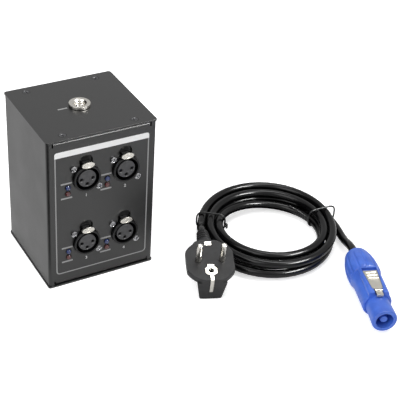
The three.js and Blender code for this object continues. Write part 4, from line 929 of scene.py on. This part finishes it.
def relief():
    """Ribs that shrink towards the cord, on a core that shrinks with them."""
    start = NECK_LENGTH + 0.3
    first, last = RELIEF_RADII
    pitch = (RELIEF_END - start) / (RELIEF_RIBS - 1 + RIB_SHARE)
    corners = [(0, start)]
    for rib in range(RELIEF_RIBS):
        outer = first + (last - first) * rib / (RELIEF_RIBS - 1)
        low = start + rib * pitch
        high = low + pitch * RIB_SHARE
        corners += [(outer, low), (outer, high)]
        if rib < RELIEF_RIBS - 1:
            corners += [(outer - RELIEF_GROOVE, high), (outer - RELIEF_GROOVE, low + pitch)]
    return turned(corners + [(0, RELIEF_END)], 0.35, 48)


put("plug_relief_ribbed", relief(), relief_pvc, stands_for=("plug_strain_relief",),
    frame_at=neck_at @ Matrix.Rotation(-math.pi / 2, 4, "X"))


# The locking connector: a cap nut with finger grooves, a housing with a raised saddle and a
# round nose, and a steel latch that slides back to unlock. It lies with its latch up.
CONNECTOR_PLACE = Vector((193.7, -122.7, 14)) * MM
CONNECTOR_HEADING = math.radians(-110)
CAP_END = 33.1
CAP_PROFILE = [(5, 0), (9, 2.6), (10.5, 6.5), (12.3, 13.1), (13.3, 19.6), (13.65, 26.1),
               (13.45, 31), (12.6, CAP_END)]
CAP_GROOVES = 12
GROOVE_DEPTH = 0.9
GROOVE_START, GROOVE_FADE = 8, 5
GROOVE_LIP, GROOVE_LIP_FADE = 0.5, 1.5
GROOVED_FROM_RADIUS = 8
LATCH_REAR = 38
LATCH_SHOULDER = 60.5
LATCH_FRONT = 69
LATCH_RIBS = 3
LATCH_FIRST_RIB = 41
LATCH_RIB_PITCH = 3.5
LATCH_CROSSBAR = 63.15
LATCH_FLOOR = 10.3
LATCH_SHEET = 2
LATCH_HALF_WIDTHS = (6, 4.3, 2.7)
RIB_RADIUS = 0.75
RIB_HALF_WIDTH, CROSSBAR_HALF_WIDTH = 4.4, 3.3
connector_at = (Matrix.Translation(CONNECTOR_PLACE)
                @ Matrix.Rotation(CONNECTOR_HEADING - math.pi / 2, 4, "Z"))
nose_ward = connector_at @ Matrix.Rotation(-math.pi / 2, 4, "X")


def grooved_cap():
    """A turned cap whose grooves run to its front edge and fade out towards the cord."""
    cap = turned([(0, 0)] + CAP_PROFILE + [(0, CAP_END)], 1.6, 144)
    bmesh.ops.subdivide_edges(cap, edges=[e for e in cap.edges if e.calc_length() > 2.2], cuts=2,
                              use_grid_fill=True)
    for vertex in cap.verts:
        x, y, z = vertex.co
        radius = math.hypot(x, y)
        if radius < GROOVED_FROM_RADIUS:
            continue
        fade = (min(1, max(0, (z - GROOVE_START) / GROOVE_FADE))
                * min(1, max(0, (CAP_END - GROOVE_LIP - z) / GROOVE_LIP_FADE)))
        wave = max(0, math.cos(CAP_GROOVES * math.atan2(y, x))) ** 3
        shrink = 1 - GROOVE_DEPTH * fade * wave / radius
        vertex.co.x, vertex.co.y = x * shrink, y * shrink
    return cap


put("connector_cap_grooved", grooved_cap(), blue_polyamide, stands_for=("connector_cap",),
    frame_at=nose_ward, sharp=60)
dressed("connector_housing", blue_polyamide, ease_mm=0.4)
dressed("connector_core", blue_polyamide, ease_mm=0.3)

# Stamped spring steel under a matt nickel plate: a pale grey, duller than the turned nickel
matt_nickel, tree, shader, place = new_finish("matt_nickel_plate", "#b6b3ab", 0.42, 1.0)
grain(tree, shader, place, 0.35, 0.002, 0.08)
vary(tree, shader, place, "Roughness", 2.5, 0.38, 0.46)


def cross_rod(half_width, y):
    """A round ridge across the latch, about half sunk in its top."""
    rod = turned([(0, -half_width), (RIB_RADIUS, -half_width), (RIB_RADIUS, half_width),
                  (0, half_width)], 0.3, 24)
    rod.transform(Matrix.Translation((0, y, LATCH_FLOOR + LATCH_SHEET + 0.1))
                  @ Matrix.Rotation(math.pi / 2, 4, "Y"))
    return rod


def latch():
    """In the connector's frame: +Y to the nose, +Z up."""
    rear, shoulder, tongue = LATCH_HALF_WIDTHS
    right = [(rear, LATCH_REAR), (shoulder, LATCH_SHOULDER), (tongue, LATCH_SHOULDER),
             (tongue, LATCH_FRONT)]
    left = [(-x, y) for x, y in reversed(right)]
    plate = slab(eased(right + left, 0.8, True), LATCH_FLOOR, LATCH_FLOOR + LATCH_SHEET, 0.3)
    ridges = [cross_rod(RIB_HALF_WIDTH, LATCH_FIRST_RIB + index * LATCH_RIB_PITCH)
              for index in range(LATCH_RIBS)]
    return shaped(plate, ridges + [cross_rod(CROSSBAR_HALF_WIDTH, LATCH_CROSSBAR)], "UNION")


put("connector_latch_stamped", latch(), matt_nickel, rides="latch",
    stands_for=("connector_latch",), frame_at=connector_at)


# The lead: round black PVC cord, wound into a flat coil of about four and a half turns, which
# spirals in above and out again below. Its route is the same as the solid model's.
CORD_DIAMETER = 7
COIL_RADIUS = 58
COIL_PITCH = 7.4
LAYER_RISE = 7.4
COIL_MIDDLE = (151.1, -56.5)
COIL_START = math.radians(150)
COIL_END = math.radians(-10)
TIGHT_ANGLE = math.radians(-30)
COIL_BULGE = 6
COIL_SPREAD = 4.2
DROP_TURNS = 0.5
END_OUTSET_TURNS = 0.2
COIL_BASE = 2.0
COIL_TURNS = 4 + (COIL_START - COIL_END) / (2 * math.pi)
IN_AND_OUT = COIL_TURNS - END_OUTSET_TURNS
STEPS_PER_TURN = 48
STRETCH_STEPS = 8
END_STRAIGHT = 0.8
LEVEL_SHARE_TO_CONNECTOR = 0.24
CORD_CLEAR = 0.3

# Smooth extruded PVC: black and glossy enough to show long bright streaks
cord_pvc, tree, shader, place = new_finish("black_cord_pvc", "#060607", 0.21)
shader.inputs["Specular IOR Level"].default_value = 0.32
grain(tree, shader, place, 5, 0.04, 0.15)


def looseness(angle):
    """From 0 on the side where the bundle is tied tight to 1 where it bulges most."""
    return math.sin(angle - TIGHT_ANGLE) ** 2


def inward_turns(turn):
    """How many strands further in than the outermost one the cord lies after so many turns."""
    return min(turn, IN_AND_OUT - turn)


def strand_radius(loose, inward):
    """The radius of a strand, from how loose the bundle is there and how far in the strand lies."""
    return COIL_RADIUS + COIL_BULGE * loose - (COIL_PITCH + COIL_SPREAD * loose) * inward


def coil_point(turn):
    """Where the cord is after so many turns: the way in lies above, and the way out below."""
    angle = COIL_START - 2 * math.pi * turn
    radius = strand_radius(looseness(angle), inward_turns(turn))
    t = min(1, max(0, (turn - (IN_AND_OUT - DROP_TURNS) / 2) / DROP_TURNS))
    dropped = t * t * (3 - 2 * t)
    return Vector((COIL_MIDDLE[0] + radius * math.cos(angle),
                   COIL_MIDDLE[1] + radius * math.sin(angle),
                   COIL_BASE + CORD_DIAMETER / 2 + LAYER_RISE * (1 - dropped)))


def smooth_line(points, steps):
    """A smooth line through the points, as a centripetal Catmull-Rom spline."""
    ends = [points[0] * 2 - points[1]] + points + [points[-1] * 2 - points[-2]]
    line = []
    for a, b, c, d in zip(ends, ends[1:], ends[2:], ends[3:]):
        t1 = (b - a).length ** 0.5
        t2 = t1 + (c - b).length ** 0.5
        t3 = t2 + (d - c).length ** 0.5
        for step in range(steps):
            t = t1 + (t2 - t1) * step / steps
            ab = a * ((t1 - t) / t1) + b * (t / t1)
            bc = b * ((t2 - t) / (t2 - t1)) + c * ((t - t1) / (t2 - t1))
            cd = c * ((t3 - t) / (t3 - t2)) + d * ((t - t2) / (t3 - t2))
            abc = ab * ((t2 - t) / t2) + bc * (t / t2)
            bcd = bc * ((t3 - t) / (t3 - t1)) + cd * ((t - t1) / (t3 - t1))
            line.append(abc * ((t2 - t) / (t2 - t1)) + bcd * ((t - t1) / (t2 - t1)))
    return line + [points[-1]]


turn_steps = round(COIL_TURNS * STEPS_PER_TURN)
winding = [coil_point(COIL_TURNS * step / turn_steps) for step in range(turn_steps + 1)]


def flat_way(point, before):
    """The level direction from one point to the next."""
    way = point - before
    way.z = 0
    return way.normalized()


def free_stretch(start, way_from, end, way_to, level_share):
    """A stretch square to both ends, level for a share of it and then in two arcs up or down."""
    reach = (end - start).length / 3
    handles = [start, start + way_from * reach, end - way_to * reach, end]
    middles = []
    for step in range(1, STRETCH_STEPS):
        t = step / STRETCH_STEPS
        weights = [(1 - t) ** 3, 3 * t * (1 - t) ** 2, 3 * t ** 2 * (1 - t), t ** 3]
        point = sum((handle * weight for handle, weight in zip(handles, weights)),
                    Vector((0, 0, 0)))
        along = max(0, (t - level_share) / (1 - level_share))
        share = 2 * along ** 2 if along < 0.5 else 1 - 2 * (1 - along) ** 2
        point.z = start.z + (end.z - start.z) * share
        middles.append(point)
    return smooth_line([start, start + way_from * END_STRAIGHT] + middles
                       + [end - way_to * END_STRAIGHT, end], 5)


way_in = -flat_way(winding[0], winding[1])
way_out = flat_way(winding[-1], winding[-2])
coil_first = winding[0] - way_in * CORD_DIAMETER / 2
coil_last = winding[-1] + way_out * CORD_DIAMETER / 2
plug_way = Vector((math.cos(PLUG_HEADING), math.sin(PLUG_HEADING), 0))
relief_tip = neck_at.translation / MM + plug_way * (RELIEF_END + CORD_CLEAR)
connector_way = Vector((math.cos(CONNECTOR_HEADING), math.sin(CONNECTOR_HEADING), 0))
connector_rear = CONNECTOR_PLACE / MM - connector_way * CORD_CLEAR
route = (free_stretch(relief_tip, plug_way, coil_first, way_in, 0) + winding
         + free_stretch(coil_last, way_out, connector_rear, connector_way,
                        LEVEL_SHARE_TO_CONNECTOR))

lead_curve = bpy.data.curves.new("mains_lead", "CURVE")
lead_curve.dimensions = "3D"
lead_curve.bevel_depth = CORD_DIAMETER / 2 * MM
lead_curve.bevel_resolution = 6
lead_curve.use_fill_caps = True
spline = lead_curve.splines.new("POLY")
spline.points.add(len(route) - 1)
for point, spot in zip(spline.points, route):
    point.co = (*(spot * MM), 1)
lead = bpy.data.objects.new("mains_lead", lead_curve)
bpy.context.collection.objects.link(lead)
lead_curve.materials.append(cord_pvc)
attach(lead, "box")
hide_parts("lead_to_plug", "lead_coil", "lead_to_connector")


# The ties: each is a thin plastic-covered wire bent once round the coil, and its two ends are
# twisted together inside it.
TIE_DIAMETER = 1.5
TIE_GAP = 0.6
TIE_ROUNDING = 1.4
TIE_TAIL_INSET = 1.6
TIES = {"left": (143, 10, 0), "right": (-3, 34, 2)}
TWIST_PITCH = 5
TWIST_RADIUS = 0.6
STRAND_RADIUS = 0.65
TAIL_STEPS = 40

# Soft polythene drawn over the tie's wire: black, smooth and a little shiny
tie_plastic, tree, shader, place = new_finish("tie_plastic", "#121213", 0.3)
grain(tree, shader, place, 0.8, 0.01, 0.15)


def tube(points, radius, sides, closed=False):
    """A round tube through the points, with rings square to its way."""
    mesh = bmesh.new()
    count = len(points)
    rings = []
    side = (points[1] - points[0]).cross(Vector((0, 0, 1)))
    for i, point in enumerate(points):
        before = points[i - 1] if closed or i else point
        after = points[(i + 1) % count] if closed or i < count - 1 else point
        way = (after - before).normalized()
        side = (side - way * side.dot(way)).normalized()
        up = side.cross(way)
        rings.append([mesh.verts.new(point + side * x + up * y) for x, y in circle(radius, sides)])
    skin(mesh, rings, closed)
    if not closed:
        mesh.faces.new(rings[0][::-1])
        mesh.faces.new(rings[-1])
    bmesh.ops.recalc_face_normals(mesh, faces=mesh.faces)
    return mesh


def cord_tie(angle, tail_turn, tail_rise):
    """A loop round all strands at an angle of the coil, and its twisted tail inside the coil."""
    first_turn = (COIL_START - angle) / (2 * math.pi)
    inward = [inward_turns(first_turn + turn) for turn in range(int(COIL_TURNS) + 1)]
    clear = CORD_DIAMETER / 2 + TIE_GAP + TIE_DIAMETER / 2
    outer_edge = strand_radius(looseness(angle), min(inward)) + clear
    inner_edge = strand_radius(looseness(angle), max(inward)) - clear
    low = COIL_BASE - TIE_GAP / 2 - TIE_DIAMETER / 2
    high = COIL_BASE + CORD_DIAMETER + LAYER_RISE + TIE_GAP + TIE_DIAMETER / 2
    loop = eased([(inner_edge, low), (outer_edge, low), (outer_edge, high), (inner_edge, high)],
                 clear * TIE_ROUNDING, True, 8)
    outward = Vector((math.cos(angle), math.sin(angle), 0))
    centre = Vector((*COIL_MIDDLE, 0))
    ring = tube([centre + outward * x + Vector((0, 0, z)) for x, z in loop], TIE_DIAMETER / 2, 12,
                True)
    strands = []
    for half_turn in (0, math.pi):
        line = []
        for step in range(TAIL_STEPS + 1):
            t = step / TAIL_STEPS
            radius = inner_edge - TIE_TAIL_INSET * min(1, 3 * t)
            spot = angle + tail_turn * t
            outward_here = Vector((math.cos(spot), math.sin(spot), 0))
            core = centre + Vector((radius * math.cos(spot), radius * math.sin(spot),
                                    (low + high) / 2 + tail_rise * t))
            twist = 2 * math.pi * t * radius * tail_turn / TWIST_PITCH + half_turn
            line.append(core + outward_here * TWIST_RADIUS * math.cos(twist)
                        + Vector((0, 0, TWIST_RADIUS * math.sin(twist))))
        strands.append(tube(line, STRAND_RADIUS, 8))
    return joined(ring, *strands)


for side, (angle, tail_turn, tail_rise) in TIES.items():
    tie_mesh = cord_tie(math.radians(angle), math.radians(tail_turn), tail_rise)
    put(f"lead_tie_{side}_wire", tie_mesh, tie_plastic,
                          stands_for=(f"lead_tie_{side}",), sharp=60)
